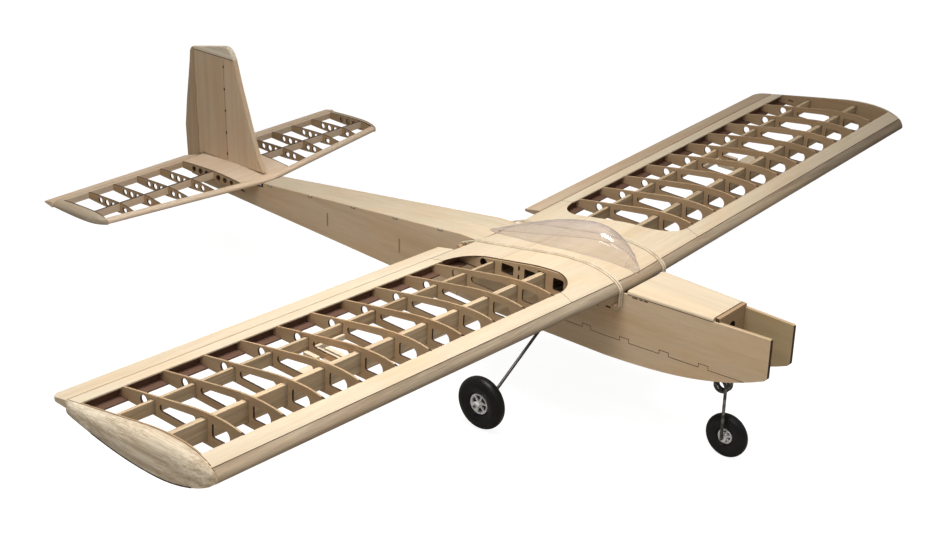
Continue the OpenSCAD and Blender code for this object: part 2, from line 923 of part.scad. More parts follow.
module screws() {
    color(silver) place() {
        for (x = [-6, 6])
            for (y = [-24, 24])
                translate([gear_x + x, y, 0]) {
                    translate([0, 0, leg_top_z + 0.5 - 1.6]) cylinder(h = 1.6, r = 2.2);
                    translate([0, 0, leg_top_z]) cylinder(h = 8.5, r = 1.28);
                }
        for (y = [-9, 9])
            for (z = bracket_screw_z)
                translate([firewall_x + firewall_t + 3.02, y, z])
                    rotate([0, 90, 0]) cylinder(h = 1.6, r = 2.2);
        bracket_screws(1.28, 7.02);
    }
}

// Bent wire through a list of points, with round bends
module bent_wire(points, r) {
    for (i = [0:len(points) - 2]) rod(points[i], points[i + 1], r);
    for (i = [1:len(points) - 2]) translate(points[i]) sphere(r = r);
}

module main_leg() {
    bent_wire([[gear_x, 4, leg_top_z], [gear_x, half_w, leg_top_z],
        [axle_x, track_half - 18, main_r], [axle_x, track_half + 15, main_r]], wire_r);
}

module main_leg_left() { color(steel) place() main_leg(); }
module main_leg_right() { color(steel) place() mirror([0, 1, 0]) main_leg(); }

// Set collar along y on a wire
module y_collar(x, z, y0, width) {
    difference() {
        y_bar(x, z, y0, y0 + width, collar_r);
        y_bar(x, z, y0 - 1, y0 + width + 1, wire_r + 0.02);
    }
}

module axle_collars() {
    color(silver) place()
        port_and_starboard() {
            y_collar(axle_x, main_r, track_half - main_half_w - 0.3 - collar_w, collar_w);
            y_collar(axle_x, main_r, track_half + main_half_w + 0.3, collar_w);
        }
}

// Turns a wheel profile (radius, width) about an axle along y
module wheel_at(x, y, z) {
    translate([x, y, z]) rotate([90, 0, 0]) children();
}

module tyre(r, hub_r, half_w2) {
    rotate_extrude($fn = 72) {
        rounded_box_2d(hub_r + 1, -half_w2, r, half_w2, half_w2 - 1);
        translate([hub_r, -half_w2 * 0.6]) square([half_w2 * 0.8, half_w2 * 1.2]);
    }
}

module hub(hub_r, half_w2) {
    rotate_extrude($fn = 72) {
        translate([hub_r - 2, -half_w2 * 0.7]) square([2, half_w2 * 1.4]);
        translate([wire_r + run_clear, -half_w2]) square([3, 2 * half_w2]);
    }
    difference() {
        translate([0, 0, -1.5]) cylinder(h = 3, r = hub_r - 1);
        translate([0, 0, -3]) cylinder(h = 6, r = wire_r + 1);
        for (a = [0:60:300])
            rotate([0, 0, a]) translate([hub_r * 0.6, 0, -3]) cylinder(h = 6, r = hub_r * 0.17);
    }
}

module main_tyre(side) {
    color(rubber_black) place()
        wheel_at(axle_x, side * track_half, main_r) tyre(main_r, main_hub_r, main_half_w);
}

module main_hub(side) {
    color(silver) place()
        wheel_at(axle_x, side * track_half, main_r) hub(main_hub_r, main_half_w);
}

module main_tyre_left() { main_tyre(1); }
module main_tyre_right() { main_tyre(-1); }
module main_hub_left() { main_hub(1); }
module main_hub_right() { main_hub(-1); }

module nose_tyre() {
    color(rubber_black) place()
        wheel_at(strut_x, 0, nose_r) tyre(nose_r, nose_hub_r, nose_half_w);
}

module nose_hub() {
    color(silver) place() wheel_at(strut_x, 0, nose_r) hub(nose_hub_r, nose_half_w);
}

// Nylon bearing on the front of the firewall, bored for the steering strut
module nose_bracket() {
    x0 = firewall_x + firewall_t;
    color(nylon) place()
        difference() {
            union() {
                translate([x0 + 0.02, -12, lug_z[0]]) cube([3, 24, lug_z[1] + lug_h - lug_z[0]]);
                for (z = lug_z)
                    translate([x0 + 0.02, 0, z]) {
                        translate([strut_x - x0, 0, 0]) cylinder(h = lug_h, r = 5);
                        translate([0, -5, 0]) cube([strut_x - x0, 10, lug_h]);
                    }
            }
            translate([strut_x, 0, 100]) cylinder(h = 70, r = wire_r + run_clear);
            translate([strut_x, 0, lug_z[0] + lug_h])
                cylinder(h = lug_z[1] - lug_z[0] - lug_h, r = collar_r + 0.6);
            bracket_screws(1.3, 8);
        }
}

// Half a turn of the coil between two points, above or below them
module coil_half(p, q, upper) {
    translate([(p[0] + q[0]) / 2, (p[1] + q[1]) / 2, coil_z])
        rotate([0, 0, atan2(q[1] - p[1], q[0] - p[0])])
            rotate([upper ? 90 : -90, 0, 0])
                rotate([0, 0, coil_gap])
                    rotate_extrude(angle = 180 - 2 * coil_gap)
                        translate([norm(q - p) / 2, 0]) circle(r = wire_r, $fn = 32);
}

// Steering strut: straight shank, coil spring of two turns, then the leg beside the wheel
module nose_strut() {
    rear_x = strut_x - 2 * coil_r;
    dy = leg_y / 4;
    color(steel) place() {
        translate([strut_x, 0, coil_z]) cylinder(h = 154 - coil_z, r = wire_r);
        for (turn = [0:1]) {
            y = 2 * turn * dy;
            coil_half([rear_x, y + dy], [strut_x, y], false);
            coil_half([rear_x, y + dy], [strut_x, y + 2 * dy], true);
        }
        bent_wire([[strut_x, leg_y, coil_z], [strut_x, leg_y, nose_r], [strut_x, 12.5, nose_r]], wire_r);
    }
}

module steering_arm() {
    color(nylon) place()
        translate([strut_x, 0, 131])
            difference() {
                union() {
                    cylinder(h = 5, r = 4.8);
                    linear_extrude(3)
                        for (y = arm_tip_y)
                            hull() {
                                circle(r = 4);
                                translate([arm_tip_x, y]) circle(r = 2.5);
                            }
                }
                translate([0, 0, -1]) cylinder(h = 7, r = wire_r + 0.02);
                for (y = arm_tip_y) translate([arm_tip_x, y, -1]) cylinder(h = 5, r = 0.8);
            }
}

module nose_collars() {
    color(silver) place() {
        for (z = [lug_z[1] + lug_h + 0.1, lug_z[0] - 0.1 - collar_w])
            translate([strut_x, 0, z])
                difference() {
                    cylinder(h = collar_w, r = collar_r);
                    translate([0, 0, -1]) cylinder(h = collar_w + 2, r = wire_r + 0.02);
                }
        y_collar(strut_x, nose_r, nose_half_w + 0.3, collar_w);
        y_collar(strut_x, nose_r, -nose_half_w - 0.3 - 2.9, 2.9);
    }
}

// ---------- Stabiliser and elevator ----------

module stab_profile(le, t) {
    polygon(concat(
        [for (x = steps(stab_rib_rear_x, le, 16)) [x, stab_z + stab_half_t(x, le) - t]],
        [for (x = steps(le, stab_rib_rear_x, 16)) [x, stab_z - stab_half_t(x, le) + t]]));
}

module stab_spar_cut() {
    translate([stab_spar_x[0], stab_spar_foot_z]) square([stab_spar_x[1] - stab_spar_x[0], 40]);
}

module stabiliser_ribs() {
    color(ply) place()
        port_and_starboard()
            for (k = [0:5]) {
                y = stab_root_y + k * tail_pitch;
                le = stab_strip_x(y + 1.3);
                across(y - rib_t / 2, y + rib_t / 2)
                    difference() {
                        stab_profile(le, 0);
                        stab_spar_cut();
                        for (h = [[-574, 4.2], [-559.5, 4.6], [-545.5, 4.6], [-519.5, 4.6],
                            [-505, 4.2], [-490.5, 3.5]])
                            if (h[0] < le - 12) translate([h[0], stab_z]) circle(r = h[1]);
                    }
            }
}

module stab_spar_section(t) {
    translate([stab_spar_x[0], stab_spar_foot_z])
        square([stab_spar_x[1] - stab_spar_x[0], stab_z + tail_half_t - t - stab_spar_foot_z]);
}

module stabiliser_spars() {
    root = stab_root_y - rib_t / 2;
    color(balsa) place() {
        across(-root, root) stab_spar_section(sheet_t + 0.02);
        port_and_starboard() across(root, stab_tip_y + rib_t / 2) stab_spar_section(0);
        difference() {
            translate([stab_te_x, -stab_tip_y - rib_t / 2, stab_z - tail_te_half_t])
                cube([stab_rib_rear_x - stab_te_x, 2 * stab_tip_y + rib_t, 2 * tail_te_half_t]);
            elevator_hinge_cuts();
        }
    }
}

module stabiliser_leading_edges() {
    color(pale_balsa) place()
        port_and_starboard()
            intersection() {
                translate([stab_le_x, 0, stab_z]) rotate([0, 0, atan(sweep)])
                    across(-10, stab_tip_y + 20) {
                        translate([-tail_strip_w * cos(atan(sweep)), -tail_le_half_t])
                            square([tail_strip_w * cos(atan(sweep)) - tail_le_half_t, 2 * tail_le_half_t]);
                        translate([-tail_le_half_t, 0]) circle(r = tail_le_half_t);
                    }
                translate([-big, glue_gap, 0]) cube([big, stab_tip_y + rib_t / 2 - glue_gap, big]);
            }
}

module stabiliser_sheeting() {
    half = stab_root_y - rib_t / 2 - glue_gap;
    le = stab_strip_x(half);
    color(pale_balsa) place()
        intersection() {
            across(-half, half)
                difference() {
                    stab_profile(stab_strip_x(0), 0);
                    translate([stab_spar_x[0], stab_z + sheet_t - tail_half_t])
                        square([stab_spar_x[1] - stab_spar_x[0], 2 * (tail_half_t - sheet_t)]);
                    intersection() {
                        stab_profile(stab_strip_x(0), sheet_t);
                        translate([-900, 0]) square([900, 400]);
                    }
                }
            linear_extrude(big)
                polygon([[stab_rib_rear_x, -half], [le - glue_gap, -half],
                    [stab_strip_x(0) - glue_gap, 0], [le - glue_gap, half], [stab_rib_rear_x, half]]);
        }
}

module stabiliser_tips() {
    y0 = stab_tip_y + rib_t / 2 + glue_gap;
    le = stab_le_x - sweep * y0;
    color(pale_balsa) place()
        port_and_starboard()
            intersection() {
                across(y0, y0 + 20)
                    polygon(concat(
                        [[stab_te_x, stab_z - tail_te_half_t], [stab_te_x, stab_z + tail_te_half_t]],
                        [for (x = steps(stab_rib_rear_x, stab_strip_x(y0), 12))
                            [x, stab_z + stab_half_t(x, stab_strip_x(y0))]],
                        [for (a = steps(80, -80, 10)) [le - tail_le_half_t + tail_le_half_t * cos(a),
                            stab_z + tail_le_half_t * sin(a)]],
                        [for (x = steps(stab_strip_x(y0), stab_rib_rear_x, 12))
                            [x, stab_z - stab_half_t(x, stab_strip_x(y0))]]));
                linear_extrude(big)
                    polygon([[stab_te_x, y0], [stab_te_x, y0 + 15], [-560, y0 + 15], [le - 30, y0 + 13],
                        [le - 12, y0 + 8], [le, y0]]);
            }
}

// Places of the elevator hinges along each half
elevator_hinge_y = [60, 150, 235];
rudder_hinge_z = [[186], [250], [302], [122]];

module hinge_cut_at(front, rear) {
    y_bar(0, 0, -8.4, 8.4, 1.9);
    translate([-rear, -8.1, -0.6]) cube([front + rear, 16.2, 1.2]);
}

module elevator_hinge_cuts() {
    for (side = [-1, 1])
        for (y = elevator_hinge_y)
            translate([elevator_axis_x, side * y, stab_z]) hinge_cut_at(7, 12.2);
}

module elevator_profile() {
    t = tail_te_half_t;
    front = stab_te_x - 1;
    polygon([
        [front, stab_z], [front - t * tan(27), stab_z + t],
        [elevator_te_x, stab_z + 1], [elevator_te_x, stab_z - 1], [front - t * tan(27), stab_z - t]]);
}

module elevators() {
    color(pale_balsa) place()
        difference() {
            port_and_starboard()
                intersection() {
                    across(0, elevator_end_y + 5) elevator_profile();
                    linear_extrude(big)
                        polygon([[stab_te_x, elevator_root_y], [stab_te_x, elevator_end_y],
                            [elevator_te_x - 1, elevator_end_y], [elevator_te_x - 1, elevator_root_y + 9]]);
                }
            elevator_hinge_cuts();
            y_bar(joiner_x, stab_z, -24.1, 24.1, 1.52);
        }
}

module elevator_joiner() {
    color(steel) place() y_bar(joiner_x, stab_z, -24, 24, 1.5);
}

// ---------- Fin and rudder ----------

fin_base_z = stab_z + tail_half_t + 0.1;
fin_le = [[-471, fin_base_z], [-481.7, 172], [-496.6, 215], [-514.8, 272], [-526.5, fin_top_z]];
fin_strip_w = 8;

module fin_skins() {
    color(balsa) place()
        port_and_starboard()
            across(fin_half_t - sheet_t, fin_half_t)
                difference() {
                    polygon(concat([for (p = fin_le) [p[0] - fin_strip_w - 0.05, p[1]]],
                        [[fin_post_x[0], fin_top_z], [fin_post_x[0], fin_base_z]]));
                    for (z = rudder_hinge_z)
                        translate([fin_post_x[0] - 5, z[0] - 8.4]) square([5.9, 16.8]);
                }
}

module fin_frame() {
    inner = fin_half_t - sheet_t - 0.02;
    color(balsa) place()
        difference() {
            union() {
                across(-inner, inner)
                    intersection() {
                        polygon(concat([for (p = fin_le) [p[0] - fin_strip_w - 0.05, p[1]]],
                            [[fin_post_x[0], fin_top_z], [fin_post_x[0], fin_base_z]]));
                        union() {
                            translate([fin_post_x[0], 100]) square([fin_post_x[1] - fin_post_x[0], 300]);
                            translate([fin_seam_x - 3, 100]) square([6, 300]);
                            for (z = fin_rib_z) translate([-700, z - 1.2]) square([300, rib_t]);
                        }
                    }
                for (z = [[109, 142], [150.5, fin_base_z - 0.02]])
                    translate([fin_post_x[0], -fin_half_t, z[0]])
                        cube([fin_post_x[1] - fin_post_x[0] - 0.05, 2 * fin_half_t, z[1] - z[0]]);
            }
            rudder_hinge_cuts();
        }
}

module fin_leading_edge() {
    color(pale_balsa) place()
        across(-fin_half_t + 0.4, fin_half_t - 0.4)
            polygon(concat(fin_le, [for (p = flip(fin_le)) [p[0] - fin_strip_w, p[1]]]));
}

module fin_tip() {
    foot = [-527.5, fin_top_z + 0.05];
    corner = [-532, 334];
    crown = [-552, 329.9];
    color(pale_balsa) place()
        across(-fin_half_t, fin_half_t)
            polygon(concat(
                [for (t = steps(0, 1, 8))
                    (1 - t) * (1 - t) * foot + 2 * t * (1 - t) * corner + t * t * crown],
                [[fin_post_x[0], 317.4], [fin_post_x[0], foot[1]]]));
}

module rudder_hinge_cuts() {
    for (z = rudder_hinge_z)
        translate([rudder_axis_x, 0, z[0]]) rotate([90, 0, 0]) hinge_cut_at(6.6, 12.2);
}

module rudder() {
    front = fin_post_x[0] - 1.2;
    bevel = fin_half_t * tan(32);
    color(balsa) place()
        difference() {
            intersection() {
                translate([0, 0, 100]) linear_extrude(250)
                    polygon([
                        [front, 0], [front - bevel, fin_half_t], [-648, 1.2], [-648, -1.2],
                        [front - bevel, -fin_half_t]]);
                across(-10, 10)
                    polygon([
                        [front + 1, 110], [-638, 110], [-646, 138], [-647, 187], [-640, 228],
                        [-626, 294], [-623.6, 310], [-619, 316.4], [front + 1, 317.2]]);
            }
            rudder_hinge_cuts();
        }
}

// ---------- Hinges ----------

// Leaf with the middle knuckle and the pin; lies towards +X, pin along Y
module fixed_leaf(reach) {
    translate([0, -8, -0.5]) cube([reach, 16, 1]);
    y_bar(0, 0, -8, 8, 0.6);
    y_bar(0, 0, -3, 3, 1.5);
}

module fixed_leaf_trimmed(reach) {
    difference() {
        fixed_leaf(reach);
        for (y = [-8.2, 3])
            translate([-1.6, y, -0.75])
                difference() {
                    translate([0, 0, 0]) cube([3.3, 5.2, 1.5]);
                    translate([1.6, -1, 0.75]) rotate([-90, 0, 0]) cylinder(h = 8, r = 0.6);
                }
    }
}

// Leaf with the two outer knuckles, bored for the pin; lies towards -X
module moving_leaf(reach) {
    difference() {
        union() {
            translate([-reach, -8, -0.5]) cube([reach, 16, 1]);
            for (y = [-8, 3.2]) y_bar(0, 0, y, y + 4.8, 1.5);
        }
        y_bar(0, 0, -9, 9, 0.6 + run_clear);
        translate([-1.8, -3.2, -3]) cube([4, 6.4, 6]);
    }
}

module at_aileron_hinges(side) {
    wing_half(side) for (y = hinge_y) translate([aileron_axis_x, y, aileron_axis_z]) children();
}

module at_elevator_hinges() {
    for (side = [-1, 1])
        for (y = elevator_hinge_y) translate([elevator_axis_x, side * y, stab_z]) children();
}

module at_rudder_hinges() {
    for (z = rudder_hinge_z) translate([rudder_axis_x, 0, z[0]]) rotate([90, 0, 0]) children();
}

module fixed_leaves() {
    color(pale_balsa) place() {
        for (side = [-1, 1]) at_aileron_hinges(side) fixed_leaf_trimmed(10.2);
        at_elevator_hinges() fixed_leaf_trimmed(6);
        at_rudder_hinges() fixed_leaf_trimmed(6);
    }
}

module aileron_leaves_left() { color(pale_balsa) place() at_aileron_hinges(1) moving_leaf(12); }
module aileron_leaves_right() { color(pale_balsa) place() at_aileron_hinges(-1) moving_leaf(12); }
module elevator_leaves() { color(pale_balsa) place() at_elevator_hinges() moving_leaf(12); }
module rudder_leaves() { color(pale_balsa) place() at_rudder_hinges() moving_leaf(12); }

// ---------- Selection ----------

wing_ribs_left();
wing_ribs_right();
main_spars();
rear_spars();
trailing_edge_webs();
leading_edges();
leading_edge_sheeting();
trailing_edge_sheeting();
centre_sheeting();
dihedral_brace();
wing_tips();
aileron_left();
aileron_right();
servo_bays();
canopy();
rubber_bands();
fuselage_side_left();
fuselage_side_right();
lower_sides();
aft_deck();
bottom_sheets();
formers();
firewall();
doublers();
hatch();
servo_tray();
wing_dowels();
gear_block();
gear_straps();
screws();
main_leg_left();
main_leg_right();
axle_collars();
main_tyre_left();
main_hub_left();
main_tyre_right();
main_hub_right();
nose_bracket();
nose_strut();
steering_arm();
nose_collars();
nose_tyre();
nose_hub();
stabiliser_ribs();
stabiliser_spars();
stabiliser_leading_edges();
stabiliser_sheeting();
stabiliser_tips();
elevators();
elevator_joiner();
fin_skins();
fin_frame();
fin_leading_edge();
fin_tip();
rudder();
fixed_leaves();
aileron_leaves_left();
aileron_leaves_right();
elevator_leaves();
rudder_leaves();
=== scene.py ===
import bpy
import bmesh
import math
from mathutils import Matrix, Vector


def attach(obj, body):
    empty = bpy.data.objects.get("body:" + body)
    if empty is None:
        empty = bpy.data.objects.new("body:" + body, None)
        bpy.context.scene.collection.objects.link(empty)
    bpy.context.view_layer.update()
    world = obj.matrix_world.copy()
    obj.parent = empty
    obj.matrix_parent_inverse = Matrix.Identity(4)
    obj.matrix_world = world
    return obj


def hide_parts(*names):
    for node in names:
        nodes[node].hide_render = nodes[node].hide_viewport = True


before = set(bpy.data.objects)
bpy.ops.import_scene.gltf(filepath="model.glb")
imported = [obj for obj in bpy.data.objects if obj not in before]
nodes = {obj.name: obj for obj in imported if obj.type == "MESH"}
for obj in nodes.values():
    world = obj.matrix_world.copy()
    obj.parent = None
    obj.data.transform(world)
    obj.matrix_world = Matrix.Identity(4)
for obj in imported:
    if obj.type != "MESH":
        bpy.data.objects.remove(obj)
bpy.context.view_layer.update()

# ---------------------------------------------------------------- dimensions (mm, then metres)
# Stations are measured as in the CAD source: x forward from the trailing-edge sheeting.
MM = 0.001
MID_X = 121.0
DIHEDRAL = math.radians(2.4)
DIHEDRAL_Z = 180.0
RIB_PITCH = 52.8
ROOT_RIB_Y = 94.0
TIP_Y = ROOT_RIB_Y + 11 * RIB_PITCH + 1.25
CREST_Z, CREST_X, BLEND_X = 211.6, 148.0, 100.0
NOSE_X, NOSE_Z, FOOT_Z = 207.0, 189.0, 175.7
SLOPE, BOTTOM_SLOPE = 0.1555, 0.0245
TE_X = -20.0
SHEET_SEAM_X = 57.0
SIDE_SEAM_Z, SIDE_TABS, TAB_W, TAB_H = 124.5, (150, 206, 262, 316), 13, 5
MAIN_AXLE_X, MAIN_WHEEL_Y, MAIN_R = 80.3, 149, 35
NOSE_AXLE_X, NOSE_R = 344, 28.5
FIN_SEAM_X, FIN_HALF_T, FIN_TOP_Z = -549, 4.2, 314
FIN_SHEET_W = 0.075  # metres


def X(x):
    """Station along the body in mm to row-frame metres."""
    return (x + MID_X) * MM


def P(x, y, z):
    """CAD station in mm to row-frame metres."""
    return Vector((X(x), y * MM, z * MM))


def on_wing(x, y, z, side=1):
    """Station on the flat port wing half, turned up by the dihedral and put on its side."""
    c, s = math.cos(DIHEDRAL), math.sin(DIHEDRAL)
    h = z - DIHEDRAL_Z
    return P(x, side * (y * c - h * s), DIHEDRAL_Z + y * s + h * c)


def wing_top(x):
    """Height of the wing's upper surface at a station, before the dihedral."""
    k = SLOPE / (2 * (CREST_X - BLEND_X))
    if x > CREST_X:
        t = (x - CREST_X) / (NOSE_X - CREST_X)
        return NOSE_Z + (CREST_Z - NOSE_Z) * math.sqrt(max(0.0, 1 - t * t))
    if x > BLEND_X:
        return CREST_Z - k * (CREST_X - x) ** 2
    return CREST_Z - k * (CREST_X - BLEND_X) ** 2 - SLOPE * (BLEND_X - x)


def wing_bottom(x):
    """Height of its underside."""
    if x > CREST_X:
        t = (x - CREST_X) / (NOSE_X - CREST_X)
        return NOSE_Z - (NOSE_Z - FOOT_Z) * math.sqrt(max(0.0, 1 - t * t))
    return FOOT_Z + BOTTOM_SLOPE * (CREST_X - x)


def half_width(x):
    """Half the width of the fuselage over its sides."""
    if x < 0:
        return 41 + 0.0469 * x
    return 41 if x < 185 else 41 - 0.058 * (x - 185)


def deck(x):
    """Height of the top of the fuselage sides."""
    return min(189.0, 194.3 + 0.1055 * x)


# ---------------------------------------------------------------- materials
class Tree:
    """Small helper round a material's node tree."""

    def __init__(self, name):
        self.mat = bpy.data.materials.new(name)
        self.mat.use_nodes = True
        self.nt = self.mat.node_tree
        self.nt.nodes.clear()
        self.out = self.new("ShaderNodeOutputMaterial")

    def new(self, kind, **values):
        n = self.nt.nodes.new(kind)
        for k, v in values.items():
            setattr(n, k, v)
        return n

    def link(self, a, b):
        self.nt.links.new(a, b)

    def feed(self, socket, value):
        if isinstance(value, bpy.types.NodeSocket):
            self.link(value, socket)
        else:
            socket.default_value = value

    def math(self, op, a, b=0.0, clamp=False):
        n = self.new("ShaderNodeMath", operation=op, use_clamp=clamp)
        self.feed(n.inputs[0], a)
        self.feed(n.inputs[1], b)
        return n.outputs[0]

    def object_xyz(self):
        t = self.new("ShaderNodeTexCoord")
        s = self.new("ShaderNodeSeparateXYZ")
        self.link(t.outputs["Object"], s.inputs[0])
        return t, s

    def normal_xyz(self, t):
        s = self.new("ShaderNodeSeparateXYZ")
        self.link(t.outputs["Normal"], s.inputs[0])
        return s

    def noise(self, vector, scale, detail=4.0, rough=0.55, mapping=(1, 1, 1), offset=(0, 0, 0)):
        m = self.new("ShaderNodeMapping")
        m.inputs["Scale"].default_value = mapping
        m.inputs["Location"].default_value = offset
        self.link(vector, m.inputs["Vector"])
        n = self.new("ShaderNodeTexNoise")
        n.inputs["Scale"].default_value = scale
        n.inputs["Detail"].default_value = detail
        n.inputs["Roughness"].default_value = rough
        self.link(m.outputs[0], n.inputs["Vector"])
        return n.outputs["Fac"]

    def ramp(self, fac, stops):
        r = self.new("ShaderNodeValToRGB")
        els = r.color_ramp.elements
        while len(els) < len(stops):
            els.new(0.5)
        for e, (pos, col) in zip(els, stops):
            e.position = pos
            e.color = (*col, 1)
        self.link(fac, r.inputs[0])
        return r.outputs[0]

    def smooth(self, value, lo, hi, out_lo=0.0, out_hi=1.0):
        n = self.new("ShaderNodeMapRange", interpolation_type="SMOOTHSTEP")
        self.feed(n.inputs["Value"], value)
        n.inputs["From Min"].default_value = lo
        n.inputs["From Max"].default_value = hi
        n.inputs["To Min"].default_value = out_lo
        n.inputs["To Max"].default_value = out_hi
        return n.outputs[0]

    def mix(self, fac, a, b, blend="MIX"):
        n = self.new("ShaderNodeMix", data_type="RGBA", blend_type=blend)
        self.feed(n.inputs[0], fac)
        for i, v in ((6, a), (7, b)):
            self.feed(n.inputs[i], (*v, 1) if isinstance(v, tuple) else v)
        return n.outputs[2]

    def bump(self, height, strength, distance):
        n = self.new("ShaderNodeBump")
        n.inputs["Strength"].default_value = strength
        n.inputs["Distance"].default_value = distance
        self.link(height, n.inputs["Height"])
        return n.outputs[0]

    def principled(self, color, rough, bump=None, **extra):
        b = self.new("ShaderNodeBsdfPrincipled")
        self.feed(b.inputs["Base Color"], (*color, 1) if isinstance(color, tuple) else color)
        self.feed(b.inputs["Roughness"], rough)
        if bump is not None:
            self.link(bump, b.inputs["Normal"])
        for k, v in extra.items():
            b.inputs[k.replace("_", " ")].default_value = v
        self.link(b.outputs[0], self.out.inputs[0])
        return b


GLUE = (0.16, 0.10, 0.06)
BLUSH = (1.0, 0.93, 0.86)
CHAR, CHAR_D = (0.075, 0.036, 0.02), (0.022, 0.010, 0.006)


def grain_scale(axis, across, along):
    """Noise scale per metre: fine across the grain, stretched along it."""
    return tuple(along if a == axis else across for a in "xyz")


def wood(name, light, dark, axis, seed=0.0, contrast=1.0, panel=None, edge=None, edge_dark=0.8,
         seam=None, sanded=None, dihedral=False, painted_shade=None, edge_from=None):
    """Bare balsa or ply: streaked grain along an axis, pores, broad tone drift, a glue seam.

    panel: (axis, pitch, offset, amount) tones each strip or rib a little differently.
    edge: normal axis of a laser-cut sheet; faces that look elsewhere are scorched.
    sanded: height in metres above which upward edges are clean; dihedral: measured on the wing.
    seam: (axis, position, half width) in metres.
    painted_shade: (height, x, colour): painted shade, a darker colour on the inner face below that
    height and forward of x.
    edge_from: the scorched edges start forward of this x, in metres.
    """
    t = Tree(name)
    tc, pos = t.object_xyz()
    vec = tc.outputs["Object"]
    off = (seed, seed * 1.7, seed * 0.3)
    fine = t.noise(vec, 1.0, 5.0, 0.6, grain_scale(axis, 900, 14), off)
    mid = t.noise(vec, 1.0, 4.0, 0.55, grain_scale(axis, 160, 3.2), off)
    broad = t.noise(vec, 1.0, 3.0, 0.5, grain_scale(axis, 22, 1.6), off)
    pores = t.noise(vec, 1.0, 2.0, 0.5, grain_scale(axis, 1500, 90), off)
    tone = t.math("MULTIPLY", t.math("SUBTRACT", mid, 0.5), 0.9 * contrast)
    tone = t.math("ADD", tone, t.math("MULTIPLY", t.math("SUBTRACT", fine, 0.5), 0.9 * contrast))
    tone = t.math("ADD", tone, t.math("MULTIPLY", t.math("SUBTRACT", broad, 0.5), 1.1 * contrast))
    if panel:
        p_axis, pitch, start, amount = panel
        c = pos.outputs["XYZ".index(p_axis.upper())]
        cell = t.math("FLOOR", t.math("DIVIDE", t.math("SUBTRACT", c, start), pitch))
        wn = t.new("ShaderNodeTexWhiteNoise", noise_dimensions="1D")
        t.link(t.math("ADD", cell, seed + 0.5), wn.inputs["W"])
        tone = t.math("ADD", tone, t.math("MULTIPLY", t.math("SUBTRACT", wn.outputs[0], 0.5), amount))
    tone = t.math("ADD", tone, 0.5, clamp=True)
    mid_col = tuple((a + b) / 2 for a, b in zip(light, dark))
    col = t.ramp(tone, [(0.0, dark), (0.5, mid_col), (1.0, light)])
    blush = t.smooth(t.noise(vec, 1.0, 3.0, 0.5, grain_scale(axis, 30, 7), off), 0.42, 0.62, 0.0, 0.75)
    col = t.mix(blush, col, BLUSH, "MULTIPLY")
    pore_mask = t.smooth(pores, 0.62, 0.78, 0.0, 0.35 * contrast)
    col = t.mix(pore_mask, col, tuple(c * 0.55 for c in dark))
    height = t.math("ADD", t.math("MULTIPLY", fine, 0.7), t.math("MULTIPLY", mid, 0.5))
    rough = t.math("ADD", 0.62, t.math("MULTIPLY", fine, 0.2))
    if painted_shade or sanded is not None:
        lift = t.math("MULTIPLY", t.math("ABSOLUTE", pos.outputs[1]), math.tan(DIHEDRAL))
        height_of = t.math("SUBTRACT", pos.outputs[2], lift) if dihedral else pos.outputs[2]
    if edge:
        n = t.normal_xyz(tc)
        facing = t.math("ABSOLUTE", n.outputs["XYZ".index(edge.upper())])
        amount = t.math("MULTIPLY", t.smooth(facing, 0.75, 0.35), edge_dark)
        if edge_from is not None:
            amount = t.math("MULTIPLY", amount, t.math("GREATER_THAN", pos.outputs[0], edge_from))
        char = t.noise(vec, 260.0, 3.0, 0.6)
        scorch = t.ramp(char, [(0.3, CHAR_D), (0.7, CHAR)])
        if sanded is not None:  # upward edges above this height were sanded clean
            clean = t.math("MULTIPLY", t.smooth(n.outputs[2], 0.5, 0.8),
                           t.math("GREATER_THAN", height_of, sanded))
            amount = t.math("MULTIPLY", amount, t.math("SUBTRACT", 1.0, t.math("MULTIPLY", clean, 0.9)))
        col = t.mix(amount, col, scorch)
    # painted shade: low faces forward of x take a darker colour
    if painted_shade:
        low, front, inner = painted_shade
        m = t.math("MULTIPLY", t.math("LESS_THAN", height_of, low),
                   t.math("GREATER_THAN", pos.outputs[0], front))
        col = t.mix(m, col, inner)
    if seam:
        s_axis, at, half = seam
        c = pos.outputs["XYZ".index(s_axis.upper())]
        d = t.math("ABSOLUTE", t.math("SUBTRACT", c, at))
        m = t.smooth(d, half * 1.5, half * 0.5)
        col = t.mix(t.math("MULTIPLY", m, 0.75), col, GLUE)
    t.principled(col, rough, t.bump(height, 0.25, 0.0004), Specular_IOR_Level=0.25)
    return t.mat


def plain(name, base, rough, metallic=0.0, grain=0.0, spec=0.5, wear=None):
    """Moulded or drawn material with slight mottling, fine bump and worn high spots."""
    t = Tree(name)
    tc, _ = t.object_xyz()
    vec = tc.outputs["Object"]
    n1 = t.noise(vec, 90.0, 4.0, 0.6)
    n2 = t.noise(vec, 900.0, 3.0, 0.5)
    dark = tuple(c * 0.8 for c in base)
    lite = tuple(min(1.0, c * 1.2 + 0.004) for c in base)
    col = t.ramp(n1, [(0.3, dark), (0.7, lite)])
    if wear:
        geo = t.new("ShaderNodeNewGeometry")
        m = t.smooth(geo.outputs["Pointiness"], 0.52, 0.6)
        m = t.math("MULTIPLY", m, t.smooth(n1, 0.4, 0.6))
        col = t.mix(m, col, wear)
    r = t.math("ADD", rough - 0.06, t.math("MULTIPLY", n2, 0.12))
    t.principled(col, r, t.bump(n2, grain, 0.0002), Metallic=metallic, Specular_IOR_Level=spec)
    return t.mat


